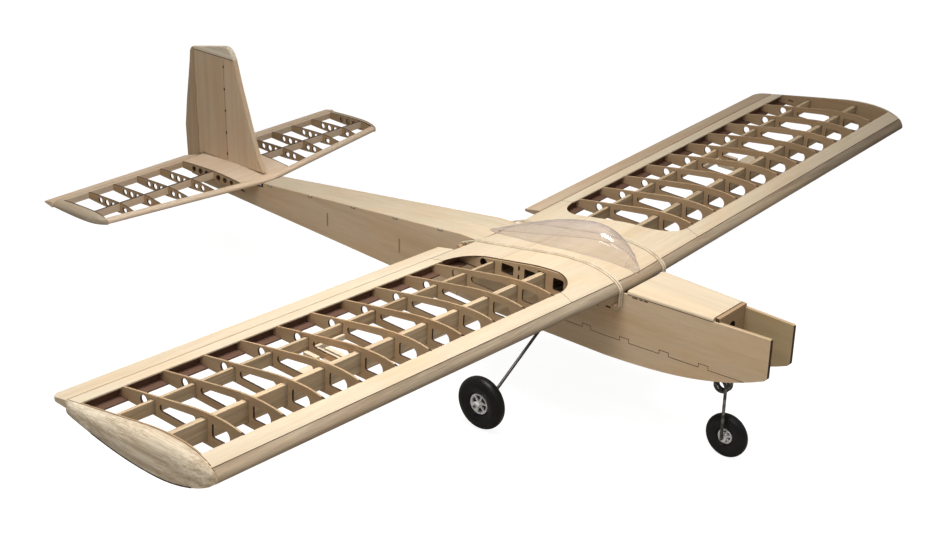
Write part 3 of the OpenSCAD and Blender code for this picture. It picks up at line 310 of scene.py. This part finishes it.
def clear_plastic(name):
    """Thin clear moulding: see-through, milky at grazing angles, with a glossy skin."""
    t = Tree(name)
    tc, _ = t.object_xyz()
    haze = t.noise(tc.outputs["Object"], 30.0, 3.0, 0.5)
    tint = t.ramp(haze, [(0.3, (0.36, 0.29, 0.285)), (0.7, (0.56, 0.47, 0.455))])
    veil = t.principled(tint, 0.3, Specular_IOR_Level=0.2)
    layer = t.new("ShaderNodeLayerWeight")
    layer.inputs["Blend"].default_value = 0.35
    path = t.new("ShaderNodeLightPath")
    alpha = t.smooth(layer.outputs["Facing"], 0.1, 0.9, 0.20, 0.66)
    alpha = t.math("ADD", alpha, t.math("MULTIPLY", haze, 0.08))
    outer = t.math("SUBTRACT", 1.0, t.new("ShaderNodeNewGeometry").outputs["Backfacing"])
    shadow = path.outputs["Is Shadow Ray"]
    alpha = t.math("MULTIPLY", alpha, t.math("SUBTRACT", 1.0, t.math("MULTIPLY", shadow, 0.7)))
    t.link(t.math("MULTIPLY", alpha, outer), veil.inputs["Alpha"])
    skin = t.new("ShaderNodeBsdfAnisotropic")
    skin.inputs["Roughness"].default_value = 0.07
    fresnel = t.new("ShaderNodeFresnel")
    fresnel.inputs["IOR"].default_value = 1.5
    both = t.new("ShaderNodeMixShader")
    shine = t.math("MULTIPLY", fresnel.outputs[0], t.math("SUBTRACT", 1.0, shadow))
    t.link(t.math("MULTIPLY", shine, outer), both.inputs[0])
    t.link(veil.outputs[0], both.inputs[1])
    t.link(skin.outputs[0], both.inputs[2])
    t.link(both.outputs[0], t.out.inputs[0])
    return t.mat


CREAM = (0.66, 0.51, 0.345)
TAN = (0.46, 0.33, 0.205)
PALE = (0.69, 0.595, 0.45)
PALE_D = (0.50, 0.395, 0.27)
PLY = (0.50, 0.35, 0.205)
PLY_D = (0.34, 0.225, 0.125)


look = {
    "rib": wood("ply_rib", PLY, PLY_D, "x", 3.1, 0.9, panel=("y", RIB_PITCH * MM, 0.0676, 0.35),
                edge="y", edge_dark=0.97, sanded=0.1908, dihedral=True),
    "tail_rib": wood("ply_tail_rib", PLY, PLY_D, "x", 8.4, 0.9, panel=("y", 0.043, 0.0265, 0.3),
                     edge="y", edge_dark=0.85),
    "sheet": wood("balsa_wing_sheet", PALE, PALE_D, "y", 1.3, 0.75, edge="z", edge_dark=0.95,
                  panel=("x", 0.0763, X(SHEET_SEAM_X), 0.22), seam=("x", X(SHEET_SEAM_X), 0.0004)),
    # the lower sheet's inner face, seen through the rib bays, gets painted shade
    "te_sheet": wood("balsa_rear_sheet", PALE, PALE_D, "y", 2.7, 0.75, dihedral=True,
                     painted_shade=(0.1862, X(-6), (0.12, 0.062, 0.04))),
    "strip": wood("balsa_strip", PALE, PALE_D, "y", 5.2, 0.85),
    "tan_strip": wood("balsa_tan_strip", (0.56, 0.435, 0.305), (0.38, 0.275, 0.18), "y", 8.8, 1.0),
    "tail_strip": wood("balsa_tail_strip", (0.80, 0.64, 0.48), (0.58, 0.445, 0.32), "y", 3.3, 0.9),
    "tail_tip": wood("balsa_tail_tip", (0.52, 0.425, 0.31), (0.24, 0.18, 0.12), "x", 6.1, 1.4),
    # streaked balsa, darkened further as painted shade on the front-facing strip
    "edge_strip": wood("balsa_edge_strip_painted_shade", (0.43, 0.345, 0.245), (0.20, 0.15, 0.10), "y", 6.9, 1.6),
    "spar": wood("balsa_spar", (0.64, 0.50, 0.33), (0.30, 0.215, 0.13), "y", 7.7, 1.5),
    "tail_spar": wood("ply_tail_spar", (0.72, 0.57, 0.42), (0.50, 0.38, 0.27), "y", 7.1, 0.9,
                      edge="x", edge_dark=0.97, edge_from=X(-560)),
    "former": wood("ply_former", PLY, PLY_D, "y", 5.5, 0.8, edge="x", edge_dark=0.3),
    # reddish brown web, darkened as painted shade under the overhanging top sheet
    "te_web": wood("balsa_rear_web_painted_shade", (0.22, 0.115, 0.07), (0.10, 0.05, 0.03), "y", 4.4, 1.1),
    "side": wood("balsa_side", CREAM, TAN, "x", 6.6, 0.8, edge="y", edge_dark=0.95, sanded=0.12),
    "deck": wood("balsa_deck", PALE, PALE_D, "x", 9.1, 0.75),
    # darker copy of the deck balsa: painted shade towards the tail
    "aft_deck": wood("balsa_aft_deck_painted_shade", (0.62, 0.53, 0.395), (0.45, 0.355, 0.24), "x", 4.6, 0.85),
    "ply": wood("ply_plate", PLY, PLY_D, "y", 0.8, 0.8, edge="x", edge_dark=0.95, sanded=0.18),
    "ply_side": wood("ply_doubler", (0.47, 0.36, 0.21), (0.34, 0.25, 0.14), "x", 1.9, 0.8,
                     edge="y", edge_dark=0.97, sanded=0.18),
    # pale balsa, lightened further as painted light where the key lamp falls off
    "tip": wood("balsa_tip_painted_light", (0.92, 0.83, 0.66), (0.40, 0.31, 0.21), "x", 3.9, 1.7),
    "hard": wood("hardwood", (0.56, 0.39, 0.24), (0.36, 0.235, 0.135), "y", 2.2, 1.0),
    "fin": wood("balsa_fin", (0.66, 0.51, 0.355), (0.49, 0.365, 0.24), "z", 4.9, 0.9,
                panel=("x", FIN_SHEET_W, X(FIN_SEAM_X) - FIN_SHEET_W, 0.3)),
    "rudder": wood("balsa_rudder", (0.60, 0.46, 0.315), (0.36, 0.25, 0.155), "z", 2.4, 1.2),
    "wire": plain("dark_wire", (0.075, 0.072, 0.066), 0.34, 0.75, 0.1, 0.5, (0.26, 0.25, 0.23)),
    "silver": plain("silver_metal", (0.93, 0.93, 0.94), 0.24, 0.35, 0.15, 0.6, (0.7, 0.7, 0.7)),
    "tyre": plain("black_rubber", (0.0045, 0.0042, 0.004), 0.4, 0.0, 0.5, 0.25, (0.014, 0.013, 0.012)),
    "nylon": plain("black_nylon", (0.013, 0.012, 0.012), 0.38, 0.0, 0.25, 0.5, (0.06, 0.06, 0.06)),
    "hinge": plain("hinge_nylon", (0.62, 0.56, 0.46), 0.5, 0.0, 0.2, 0.5, (0.5, 0.46, 0.4)),
    "latex": plain("latex_band", (0.71, 0.61, 0.46), 0.5, 0.0, 0.4, 0.3, (0.55, 0.44, 0.31)),
    "clear": clear_plastic("clear_canopy"),
    "rim": plain("canopy_rim", (0.56, 0.47, 0.40), 0.3, 0.0, 0.1, 0.5),
    # scorched lines, also used for the painted shadow under the wing tips
    "scorch": plain("scorched_line_and_painted_shadow", (0.055, 0.028, 0.015), 0.8, 0.0, 0.3, 0.1),
}

finish_of = {
    "rib": ["wing_ribs_left", "wing_ribs_right"],
    "tail_rib": ["stabiliser_ribs"],
    "sheet": ["centre_sheeting", "leading_edge_sheeting"],
    "te_sheet": ["trailing_edge_sheeting"],
    "strip": ["aileron_right", "servo_bays"],
    "tan_strip": ["aileron_left"],
    "tail_strip": ["elevators", "stabiliser_leading_edges", "stabiliser_sheeting"],
    "edge_strip": ["leading_edges"],
    "spar": ["main_spars", "rear_spars"],
    "tail_spar": ["stabiliser_spars"],
    "te_web": ["trailing_edge_webs"],
    "side": ["fuselage_side_left", "fuselage_side_right", "lower_sides"],
    "deck": ["hatch", "bottom_sheets"],
    "aft_deck": ["aft_deck"],
    "ply": ["firewall", "servo_tray", "dihedral_brace"],
    "former": ["formers"],
    "ply_side": ["doublers"],
    "tip": ["wing_tips", "stabiliser_tips", "fin_tip"],
    "hard": ["wing_dowels", "gear_block"],
    "fin": ["fin_skins", "fin_frame", "fin_leading_edge"],
    "rudder": ["rudder"],
    "wire": ["main_leg_left", "main_leg_right", "nose_strut", "elevator_joiner"],
    "silver": ["axle_collars", "screws", "nose_collars", "main_hub_left", "main_hub_right", "nose_hub"],
    "tyre": ["main_tyre_left", "main_tyre_right", "nose_tyre"],
    "nylon": ["gear_straps", "nose_bracket", "steering_arm"],
    "hinge": ["fixed_leaves", "aileron_leaves_left", "aileron_leaves_right", "elevator_leaves",
              "rudder_leaves"],
    "latex": ["rubber_bands"],
    "clear": ["canopy"],
}
for key, members in finish_of.items():
    for n in members:
        o = nodes[n]
        o.data.materials.clear()
        o.data.materials.append(look[key])


# ---------------------------------------------------------------- mesh helpers
def add_piece(name, verts, faces, material, body, smooth=True, cad=(), sharp=0.7):
    me = bpy.data.meshes.new(name)
    me.from_pydata([tuple(v) for v in verts], [], faces)
    bm = bmesh.new()
    bm.from_mesh(me)
    bmesh.ops.recalc_face_normals(bm, faces=bm.faces)
    for f in bm.faces:
        f.smooth = smooth
    for e in bm.edges:
        if len(e.link_faces) == 2 and e.calc_face_angle(0.0) > sharp:
            e.smooth = False
    bm.to_mesh(me)
    bm.free()
    me.materials.append(material)
    o = bpy.data.objects.new(name, me)
    bpy.context.scene.collection.objects.link(o)
    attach(o, body)
    if cad:
        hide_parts(*cad)
    return o


def grid_faces(rows, cols, start=0, close_cols=False):
    faces = []
    for i in range(rows - 1):
        for j in range(cols if close_cols else cols - 1):
            k = (j + 1) % cols
            a = start + i * cols
            faces.append((a + j, a + k, a + cols + k, a + cols + j))
    return faces


def lathe_y(centre, profile, segments):
    """Closed profile of (radius, width) turned about an axle along y."""
    n = len(profile)
    verts = []
    for i in range(segments):
        a = 2 * math.pi * i / segments
        verts += [centre + Vector((r * math.cos(a), w, r * math.sin(a))) * MM for r, w in profile]
    faces = []
    for i in range(segments):
        j = (i + 1) % segments
        faces += [(i * n + k, i * n + (k + 1) % n, j * n + (k + 1) % n, j * n + k) for k in range(n)]
    return verts, faces


class Builder:
    """Collects closed shells into one piece."""

    def __init__(self):
        self.verts, self.faces = [], []

    def add(self, verts, faces):
        base = len(self.verts)
        self.verts += list(verts)
        self.faces += [tuple(base + i for i in f) for f in faces]

    def prism(self, outline, offset):
        """Closed prism of a flat 3-D outline, thickened along offset."""
        n = len(outline)
        verts = list(outline) + [p + offset for p in outline]
        faces = [tuple(range(n)), tuple(range(2 * n - 1, n - 1, -1))]
        faces += [(k, (k + 1) % n, n + (k + 1) % n, n + k) for k in range(n)]
        self.add(verts, faces)

    def strip(self, a, b, normal, width, depth):
        """Thin bar from a to b, lying on a surface with this normal."""
        along = (b - a).normalized()
        across = along.cross(normal).normalized() * (width / 2)
        up = normal.normalized() * (depth / 2)
        ends = along * (width / 2)
        self.prism([a - ends - across - up, b + ends - across - up, b + ends + across - up,
                    a - ends + across - up], up * 2)


def catmull(points, x):
    """Smooth curve through (x, value) control points."""
    for i in range(len(points) - 1):
        if x <= points[i + 1][0] or i == len(points) - 2:
            p1, p2 = points[i], points[i + 1]
            p0 = points[i - 1] if i else p1
            p3 = points[i + 2] if i + 2 < len(points) else p2
            h = p2[0] - p1[0]
            t = min(1.0, max(0.0, (x - p1[0]) / h))
            m1 = (p2[1] - p0[1]) / max(1e-9, p2[0] - p0[0]) * h
            m2 = (p3[1] - p1[1]) / max(1e-9, p3[0] - p1[0]) * h
            return ((2 * t**3 - 3 * t**2 + 1) * p1[1] + (t**3 - 2 * t**2 + t) * m1
                    + (-2 * t**3 + 3 * t**2) * p2[1] + (t**3 - t**2) * m2)
    return points[-1][1]


# ---------------------------------------------------------------- wheels
AXLE_BORE, BOSS_R, SPOKES = 2.05, 3.6, 6


def superellipse(rc, a, b, power, n):
    """Closed (radius, width) outline about radius rc, with half axes a and b."""
    pts = []
    for i in range(n):
        t = 2 * math.pi * i / n
        c, s = math.cos(t), math.sin(t)
        pts.append((rc + a * math.copysign(abs(c) ** (2 / power), c),
                    b * math.copysign(abs(s) ** (2 / power), s)))
    return pts


def wheel(prefix, centre, r, hub_r, half_w, body, cad_tyre, cad_hub):
    """Tyre, spoked hub and dark web of one wheel; lengths in mm."""
    rc, a = (r + hub_r) / 2, (r - hub_r) / 2
    profile = superellipse(rc, a, half_w, 2.35, 48)
    shaped = []
    for pr, pw in profile:  # a shallow moulded ring on each sidewall
        ring = math.exp(-((pr - (hub_r + 0.32 * (r - hub_r))) / 0.9) ** 2)
        shaped.append((pr, pw * (1 - 0.06 * ring)))
    v, f = lathe_y(centre, shaped, 96)
    add_piece(prefix + "_tyre_rubber", v, f, look["tyre"], body, cad=cad_tyre, sharp=1.2)

    b = Builder()
    lip = half_w * 0.62
    b.add(*lathe_y(centre, [(hub_r + 0.3, -lip), (hub_r + 0.3, lip), (hub_r - 0.6, lip + 0.5),
                            (hub_r - 2.0, lip - 0.4), (hub_r - 2.2, lip - 2.5), (hub_r - 2.2, 2.5 - lip),
                            (hub_r - 2.0, 0.4 - lip), (hub_r - 0.6, -lip - 0.5)], 72))
    b.add(*lathe_y(centre, [(AXLE_BORE, -half_w), (AXLE_BORE, half_w), (BOSS_R, half_w),
                            (4.2, half_w - 0.6), (4.2, 0.6 - half_w), (BOSS_R, -half_w)], 40))
    for side in (-1, 1):
        w0 = side * (lip - 1.0)
        for k in range(SPOKES):
            ang = math.radians(360 / SPOKES * k + 12)
            rad = Vector((math.cos(ang), 0, math.sin(ang)))
            tan = Vector((-math.sin(ang), 0, math.cos(ang)))
            pts = [(BOSS_R, -1.9), (hub_r * 0.6, -1.0), (hub_r - 1.9, -1.8), (hub_r - 1.9, 1.8),
                   (hub_r * 0.6, 1.0), (BOSS_R, 1.9)]
            base = centre + Vector((0, w0 * MM, 0))
            b.prism([base + (rad * p + tan * q) * MM for p, q in pts], Vector((0, -side * 1.8 * MM, 0)))
    add_piece(prefix + "_spoked_hub", b.verts, b.faces, look["silver"], body,
              cad=cad_hub, sharp=0.5)

    d = Builder()
    d.add(*lathe_y(centre, [(4.0, -1.2), (4.0, 1.2), (hub_r - 2.1, 1.2), (hub_r - 2.1, -1.2)], 48))
    add_piece(prefix + "_hub_web", d.verts, d.faces, look["nylon"], body, sharp=0.5)


wheel("port", P(MAIN_AXLE_X, MAIN_WHEEL_Y, MAIN_R), MAIN_R, 13.5, 9, "port_wheel",
      ["main_tyre_left"], ["main_hub_left"])
wheel("starboard", P(MAIN_AXLE_X, -MAIN_WHEEL_Y, MAIN_R), MAIN_R, 13.5, 9, "starboard_wheel",
      ["main_tyre_right"], ["main_hub_right"])
wheel("nose", P(NOSE_AXLE_X, 0, NOSE_R), NOSE_R, 9.5, 7.5, "nose_wheel",
      ["nose_tyre"], ["nose_hub"])


# ---------------------------------------------------------------- canopy
CANOPY_CREST = [(-34, 190), (-11, 200), (30, 217.5), (78, 235), (124, 245), (150, 244), (172, 235),
                (188, 222), (202, 204)]
CANOPY_REAR, CANOPY_FRONT, CANOPY_LINE_X = -34, 202, 188
CANOPY_HALF = [(-34, 2), (0, 8), (59, 18), (110, 24), (143, 24.5), (168, 19), (187, 11), (202, 3)]


def canopy_point(x, angle):
    """Point on the bubble at a station; the angle runs from the port edge over the crest."""
    crest = catmull(CANOPY_CREST, x)
    y = catmull(CANOPY_HALF, x) * math.cos(angle)
    base = (wing_top(x) if x > TE_X else 189.3) + 0.4
    arch = max(0.0, math.sin(angle))
    lift = abs(y) * math.tan(DIHEDRAL) * (1 - arch)
    return P(x, y, base + lift + (crest - base) * arch ** 0.92)


def make_canopy():
    rows, cols = 56, 41
    length = CANOPY_FRONT - CANOPY_REAR
    xs = [CANOPY_REAR + length * (0.5 - 0.5 * math.cos(math.pi * i / (rows - 1)))
          for i in range(rows)]
    verts = [canopy_point(x, math.pi * j / (cols - 1)) for x in xs for j in range(cols)]
    o = add_piece("canopy_bubble", verts, grid_faces(rows, cols), look["clear"], "airframe",
                  cad=["canopy"], sharp=3.0)
    o.modifiers.new("smooth", "SUBSURF").render_levels = 2
    m = o.modifiers.new("shell", "SOLIDIFY")
    m.thickness = 0.7 * MM
    m.offset = -1

    rim = Builder()
    for angle, side in ((0.0, 1), (math.pi, -1)):
        edge = [canopy_point(x, angle) + Vector((0, side * 0.3, -0.1)) * MM for x in xs]
        for p, q in zip(edge, edge[1:]):
            rim.strip(p, q, Vector((0, 0, 1)), 0.8 * MM, 0.4 * MM)
    arc = [canopy_point(CANOPY_LINE_X, math.pi * j / 24) for j in range(25)]
    hub = sum(arc, Vector()) / len(arc)
    for p, q in zip(arc, arc[1:]):
        rim.strip(p, q, (p + q) / 2 - hub, 0.9 * MM, 0.3 * MM)
    add_piece("canopy_rim", rim.verts, rim.faces, look["rim"], "airframe", False)


make_canopy()


# ---------------------------------------------------------------- wing-tip blocks
TIP_REAR = 0.04
TIP_POWER = 2.3


def tip_width(u):
    """Width outside the tip rib in mm, from the trailing edge (0) to the leading edge (1)."""
    return 5 * (1 - u) ** 3 + 20.5 * max(0.0, math.sin(math.pi * min(1.0, u) ** 1.5)) ** 0.52 + 0.4


def make_tip(side):
    """Vertices and faces of one closed block: a curved top over the flat underside."""
    rows, cols = 61, 15
    top, low = [], []
    for i in range(rows):
        u = i / (rows - 1)
        u = u + 0.04 * math.sin(2 * math.pi * u)
        x = TE_X + (NOSE_X - TE_X - 0.2) * u
        w = tip_width(u)
        if u < TIP_REAR:  # rounded off at the trailing corner
            w *= 0.55 + 0.45 * math.sqrt(u / TIP_REAR)
        zt, zb = wing_top(x), wing_bottom(x)
        for j in range(cols):
            v = math.sin(math.pi / 2 * j / (cols - 1))
            drop = (1 - v**TIP_POWER) ** (1 / TIP_POWER) if v < 1 else 0.0
            y = TIP_Y + w * v
            top.append(on_wing(x, y, zb + 0.4 + (zt - zb - 0.4) * drop, side))
            low.append(on_wing(x, y, zb, side))
    n = rows * cols
    faces = grid_faces(rows, cols) + grid_faces(rows, cols, n)
    rim = (list(range(cols)) + [i * cols + cols - 1 for i in range(1, rows)]
           + [(rows - 1) * cols + j for j in range(cols - 2, -1, -1)]
           + [i * cols for i in range(rows - 2, 0, -1)])
    faces += [(rim[k], rim[(k + 1) % len(rim)], n + rim[(k + 1) % len(rim)], n + rim[k])
              for k in range(len(rim))]
    return top + low, faces


def make_tips():
    both = Builder()
    for side in (1, -1):
        both.add(*make_tip(side))
    add_piece("wing_tip_blocks", both.verts, both.faces, look["tip"], "airframe",
              cad=["wing_tips"], sharp=0.6)


make_tips()


# ---------------------------------------------------------------- scorched seams and slots, and painted shadow under the wing tips
def side_point(x, z, side, lift=0.02):
    return P(x, side * (half_width(x) + lift), z)


def seam_line():
    """Joint between the upper and lower side panels, with its square tabs."""
    z, top = SIDE_SEAM_Z, SIDE_SEAM_Z + TAB_H
    pts = [(-60, 98.9), (-50, z)]
    for tab in SIDE_TABS:
        pts += [(tab, z), (tab, top), (tab + TAB_W, top), (tab + TAB_W, z)]
    return pts + [(376, z)]


def subdivide(pts, step):
    out = [pts[0]]
    for a, b in zip(pts, pts[1:]):
        n = max(1, math.ceil(math.hypot(b[0] - a[0], b[1] - a[1]) / step))
        out += [(a[0] + (b[0] - a[0]) * k / n, a[1] + (b[1] - a[1]) * k / n) for k in range(1, n + 1)]
    return out


def burn_lines():
    b = Builder()
    for side in (-1, 1):
        normal = Vector((0, side, 0))
        runs = [(0.7, subdivide(seam_line(), 6))]
        for x in (-91, -176, -260, -350, -439):  # notches along the aft deck's edge
            rear, front = x - 4, x + 4
            runs.append((0.7, [(rear, deck(rear)), (rear, deck(rear) - 2.6),
                               (front, deck(front) - 2.6), (front, deck(front))]))
        runs.append((0.8, subdivide([(214, 188.2), (330, 188.2)], 30)))
        runs += [(1.5, [(x, 186.4), (x + w, 186.4)]) for x, w in ((221, 6), (231, 3), (237, 4))]
        runs += [(2.2, [(x, z), (x + 5, z)]) for x, z in ((166, 161.5), (185, 164))]
        for width, run in runs:
            for p, q in zip(run, run[1:]):
                b.strip(side_point(*p, side), side_point(*q, side), normal, width * MM, 0.16 * MM)
    add_piece("scorched_side_seams", b.verts, b.faces, look["scorch"], "airframe", False)


burn_lines()


def wing_seams():
    b = Builder()
    up = Vector((0, 0, 1))
    for side in (-1, 1):
        def run(pts, width=0.55):
            for p, q in zip(pts, pts[1:]):
                a = on_wing(p[0], p[1], wing_top(p[0]) + 0.02, side)
                c = on_wing(q[0], q[1], wing_top(q[0]) + 0.02, side)
                b.strip(a, c, up, width * MM, 0.12 * MM)
        run([(199.2, y) for y in (0, 200, 400, 600, TIP_Y)], 1.3)
        for k in range(1, 11):
            y = ROOT_RIB_Y + k * RIB_PITCH
            run([(179.6, y), (181.4, y)], 2.4)
        run([(x, 133) for x in (182, 188, 194, 199)])
        run([(x, 133) for x in (-20, -10, -1)])
        run([(x, TIP_Y - 0.1) for x in range(-20, 206, 6)], 0.8)
        # painted shadow: a dark strip along the underside edge of each tip block
        lower = []
        for k in range(10, 37):
            u = k / 40
            x = TE_X + (NOSE_X - TE_X) * u
            lower.append(on_wing(x, TIP_Y + tip_width(u) + 0.1, wing_bottom(x) + 0.5, side))
        for p, q in zip(lower, lower[1:]):
            b.strip(p, q, Vector((0, side, 0)), 1.3 * MM, 0.3 * MM)
    add_piece("wing_seams_and_painted_shadow", b.verts, b.faces, look["scorch"], "airframe", False)


wing_seams()


def tail_seams():
    b = Builder()
    for side in (-1, 1):
        n = Vector((0, side, 0))
        y = side * (FIN_HALF_T + 0.02)
        b.strip(P(FIN_SEAM_X, y, 156), P(FIN_SEAM_X, y, 311), n, 0.5 * MM, 0.1 * MM)
        b.strip(P(-527, y, FIN_TOP_Z), P(-614, y, FIN_TOP_Z), n, 0.9 * MM, 0.14 * MM)
        for z in (300, 266, 232.5, 198.4, 164.8):  # short dark marks along the seam
            b.strip(P(FIN_SEAM_X, y, z - 0.6), P(FIN_SEAM_X, y, z + 0.6), n, 2.6 * MM, 0.16 * MM)
    add_piece("fin_seams", b.verts, b.faces, look["scorch"], "airframe", False)


tail_seams()


# ---------------------------------------------------------------- stabiliser tip blocks
STAB_Z, STAB_TE, STAB_SPAR, STAB_TIP_Y = 146.0, -607.0, -533.0, 264.3


def make_stab_tips():
    """Half-round blocks outside the tail's end ribs, thinning towards both edges."""
    rows, cols = 40, 21
    front = -456 - 0.167 * STAB_TIP_Y
    both = Builder()
    for side in (-1, 1):
        verts = []
        for i in range(rows):
            u = math.sin(0.985 * math.pi / 2 * i / (rows - 1))
            x = STAB_TE + (front - STAB_TE) * u
            if x < STAB_SPAR:
                half = 4.5 + 3 * math.sin(math.pi / 2 * (x - STAB_TE) / (STAB_SPAR - STAB_TE))
            else:
                half = 3.5 + 4 * math.sin(math.pi / 2 * (front - x) / (front - STAB_SPAR))
            w = 15 * (1 - u ** 4) ** 0.6
            for j in range(cols):
                a = math.pi * j / (cols - 1) - math.pi / 2
                c, s = abs(math.cos(a)) ** 0.8, math.copysign(abs(math.sin(a)) ** 0.8, math.sin(a))
                verts.append(P(x, side * (STAB_TIP_Y + w * c), STAB_Z + half * s))
        faces = grid_faces(rows, cols, 0, True)
        faces += [tuple(range(cols)), tuple((rows - 1) * cols + j for j in range(cols))]
        both.add(verts, faces)
    add_piece("stabiliser_tip_blocks", both.verts, both.faces, look["tail_tip"], "airframe",
              cad=["stabiliser_tips"], sharp=0.8)


make_stab_tips()


# ---------------------------------------------------------------- stage
FLOOR_BOUNCE = (0.36, 0.34, 0.31)
FLOOR_GLOW = 0.78
FLOOR_SIZE = 12.0
FLOOR_DROP = 0.0005
FLOOR_EMISSION = 1.17
AMBIENT = 0.40
KEY_POWER = 128
CAMERA_LENS = 60.05
CAMERA_AT = (1184.4, -1471.9, 999.7)
CAMERA_AZIMUTH, CAMERA_ELEVATION, CAMERA_ROLL = 40.22, 24.72, -1.13


def make_floor():
    """Near-white floor to the camera, a duller one to light bouncing off it."""
    me = bpy.data.meshes.new("floor")
    bm = bmesh.new()
    bm.faces.new([bm.verts.new((sx * FLOOR_SIZE, sy * FLOOR_SIZE, -FLOOR_DROP))
                  for sx, sy in ((-1, -1), (1, -1), (1, 1), (-1, 1))])
    bm.to_mesh(me)
    bm.free()
    floor = bpy.data.objects.new("floor", me)
    bpy.context.scene.collection.objects.link(floor)
    t = Tree("pale_floor")
    seen = t.new("ShaderNodeMixShader")
    seen.inputs[0].default_value = FLOOR_GLOW
    matt = t.new("ShaderNodeBsdfDiffuse")
    matt.inputs[0].default_value = (0.97, 0.97, 0.97, 1)
    glow = t.new("ShaderNodeEmission")
    glow.inputs["Strength"].default_value = FLOOR_EMISSION
    t.link(matt.outputs[0], seen.inputs[1])
    t.link(glow.outputs[0], seen.inputs[2])
    bounce = t.new("ShaderNodeBsdfDiffuse")
    bounce.inputs[0].default_value = (*FLOOR_BOUNCE, 1)
    split = t.new("ShaderNodeMixShader")
    path = t.new("ShaderNodeLightPath")
    t.link(path.outputs["Is Camera Ray"], split.inputs[0])
    t.link(bounce.outputs[0], split.inputs[1])
    t.link(seen.outputs[0], split.inputs[2])
    t.link(split.outputs[0], t.out.inputs[0])
    me.materials.append(t.mat)


def make_world():
    """White to the camera, dimmer as a light source."""
    world = bpy.data.worlds.new("studio")
    bpy.context.scene.world = world
    world.use_nodes = True
    nt = world.node_tree
    bg = nt.nodes["Background"]
    bg.inputs[0].default_value = (1.0, 1.0, 1.0, 1)
    path = nt.nodes.new("ShaderNodeLightPath")
    level = nt.nodes.new("ShaderNodeMapRange")
    level.inputs["To Min"].default_value = AMBIENT
    level.inputs["To Max"].default_value = 1.0
    nt.links.new(path.outputs["Is Camera Ray"], level.inputs["Value"])
    nt.links.new(level.outputs[0], bg.inputs[1])


def lamp(name, kind, loc, target, power, color, **shape):
    d = bpy.data.lights.new(name, kind)
    for key, value in shape.items():
        setattr(d, key, value)
    d.energy = power
    d.color = color
    o = bpy.data.objects.new(name, d)
    bpy.context.scene.collection.objects.link(o)
    o.location = loc
    o.rotation_mode = "QUATERNION"
    o.rotation_quaternion = (Vector(target) - Vector(loc)).to_track_quat("-Z", "Y")


def make_lamps():
    lamp("key", "SPOT", (0.3, -0.3, 1.75), (0.3, -0.3, 0), KEY_POWER, (1.0, 0.99, 0.965),
         spot_size=math.radians(66), spot_blend=1.0, shadow_soft_size=0.4)
    lamp("fill", "AREA", (0.0, 0.5, 2.6), (0, 0.1, 0.15), 8, (1.0, 0.985, 0.955), shape="RECTANGLE",
         size=2.2, size_y=2.2)
    lamp("glint", "AREA", (0.35, -2.2, 1.95), (0.25, 0, 0.2), 8, (1.0, 1.0, 1.0), shape="RECTANGLE",
         size=0.9, size_y=0.3)
    lamp("low_glint", "AREA", (0.95, -1.0, 1.7), (0.3, 0, 0.2), 4, (1.0, 1.0, 1.0), shape="RECTANGLE",
         size=0.55, size_y=0.35)
    bpy.context.scene.view_settings.view_transform = "Standard"


def make_camera():
    cam_data = bpy.data.cameras.new("camera")
    cam_data.sensor_width = 36.0
    cam_data.lens = CAMERA_LENS
    cam_data.clip_start, cam_data.clip_end = 0.05, 50
    cam = bpy.data.objects.new("camera", cam_data)
    bpy.context.scene.collection.objects.link(cam)
    a, e, roll = (math.radians(d) for d in (CAMERA_AZIMUTH, CAMERA_ELEVATION, CAMERA_ROLL))
    back = Vector((math.sin(a) * math.cos(e), -math.cos(a) * math.cos(e), math.sin(e)))
    level = Vector((math.cos(a), math.sin(a), 0))
    up0 = back.cross(level)
    up = up0 * math.cos(roll) + level * math.sin(roll)
    right = up.cross(back)
    m = cam.matrix_world.copy()
    for i in range(3):
        m[i][0], m[i][1], m[i][2] = right[i], up[i], back[i]
    m.translation = P(*CAMERA_AT)
    cam.matrix_world = m
    bpy.context.scene.camera = cam


make_floor()
make_world()
make_lamps()
make_camera()
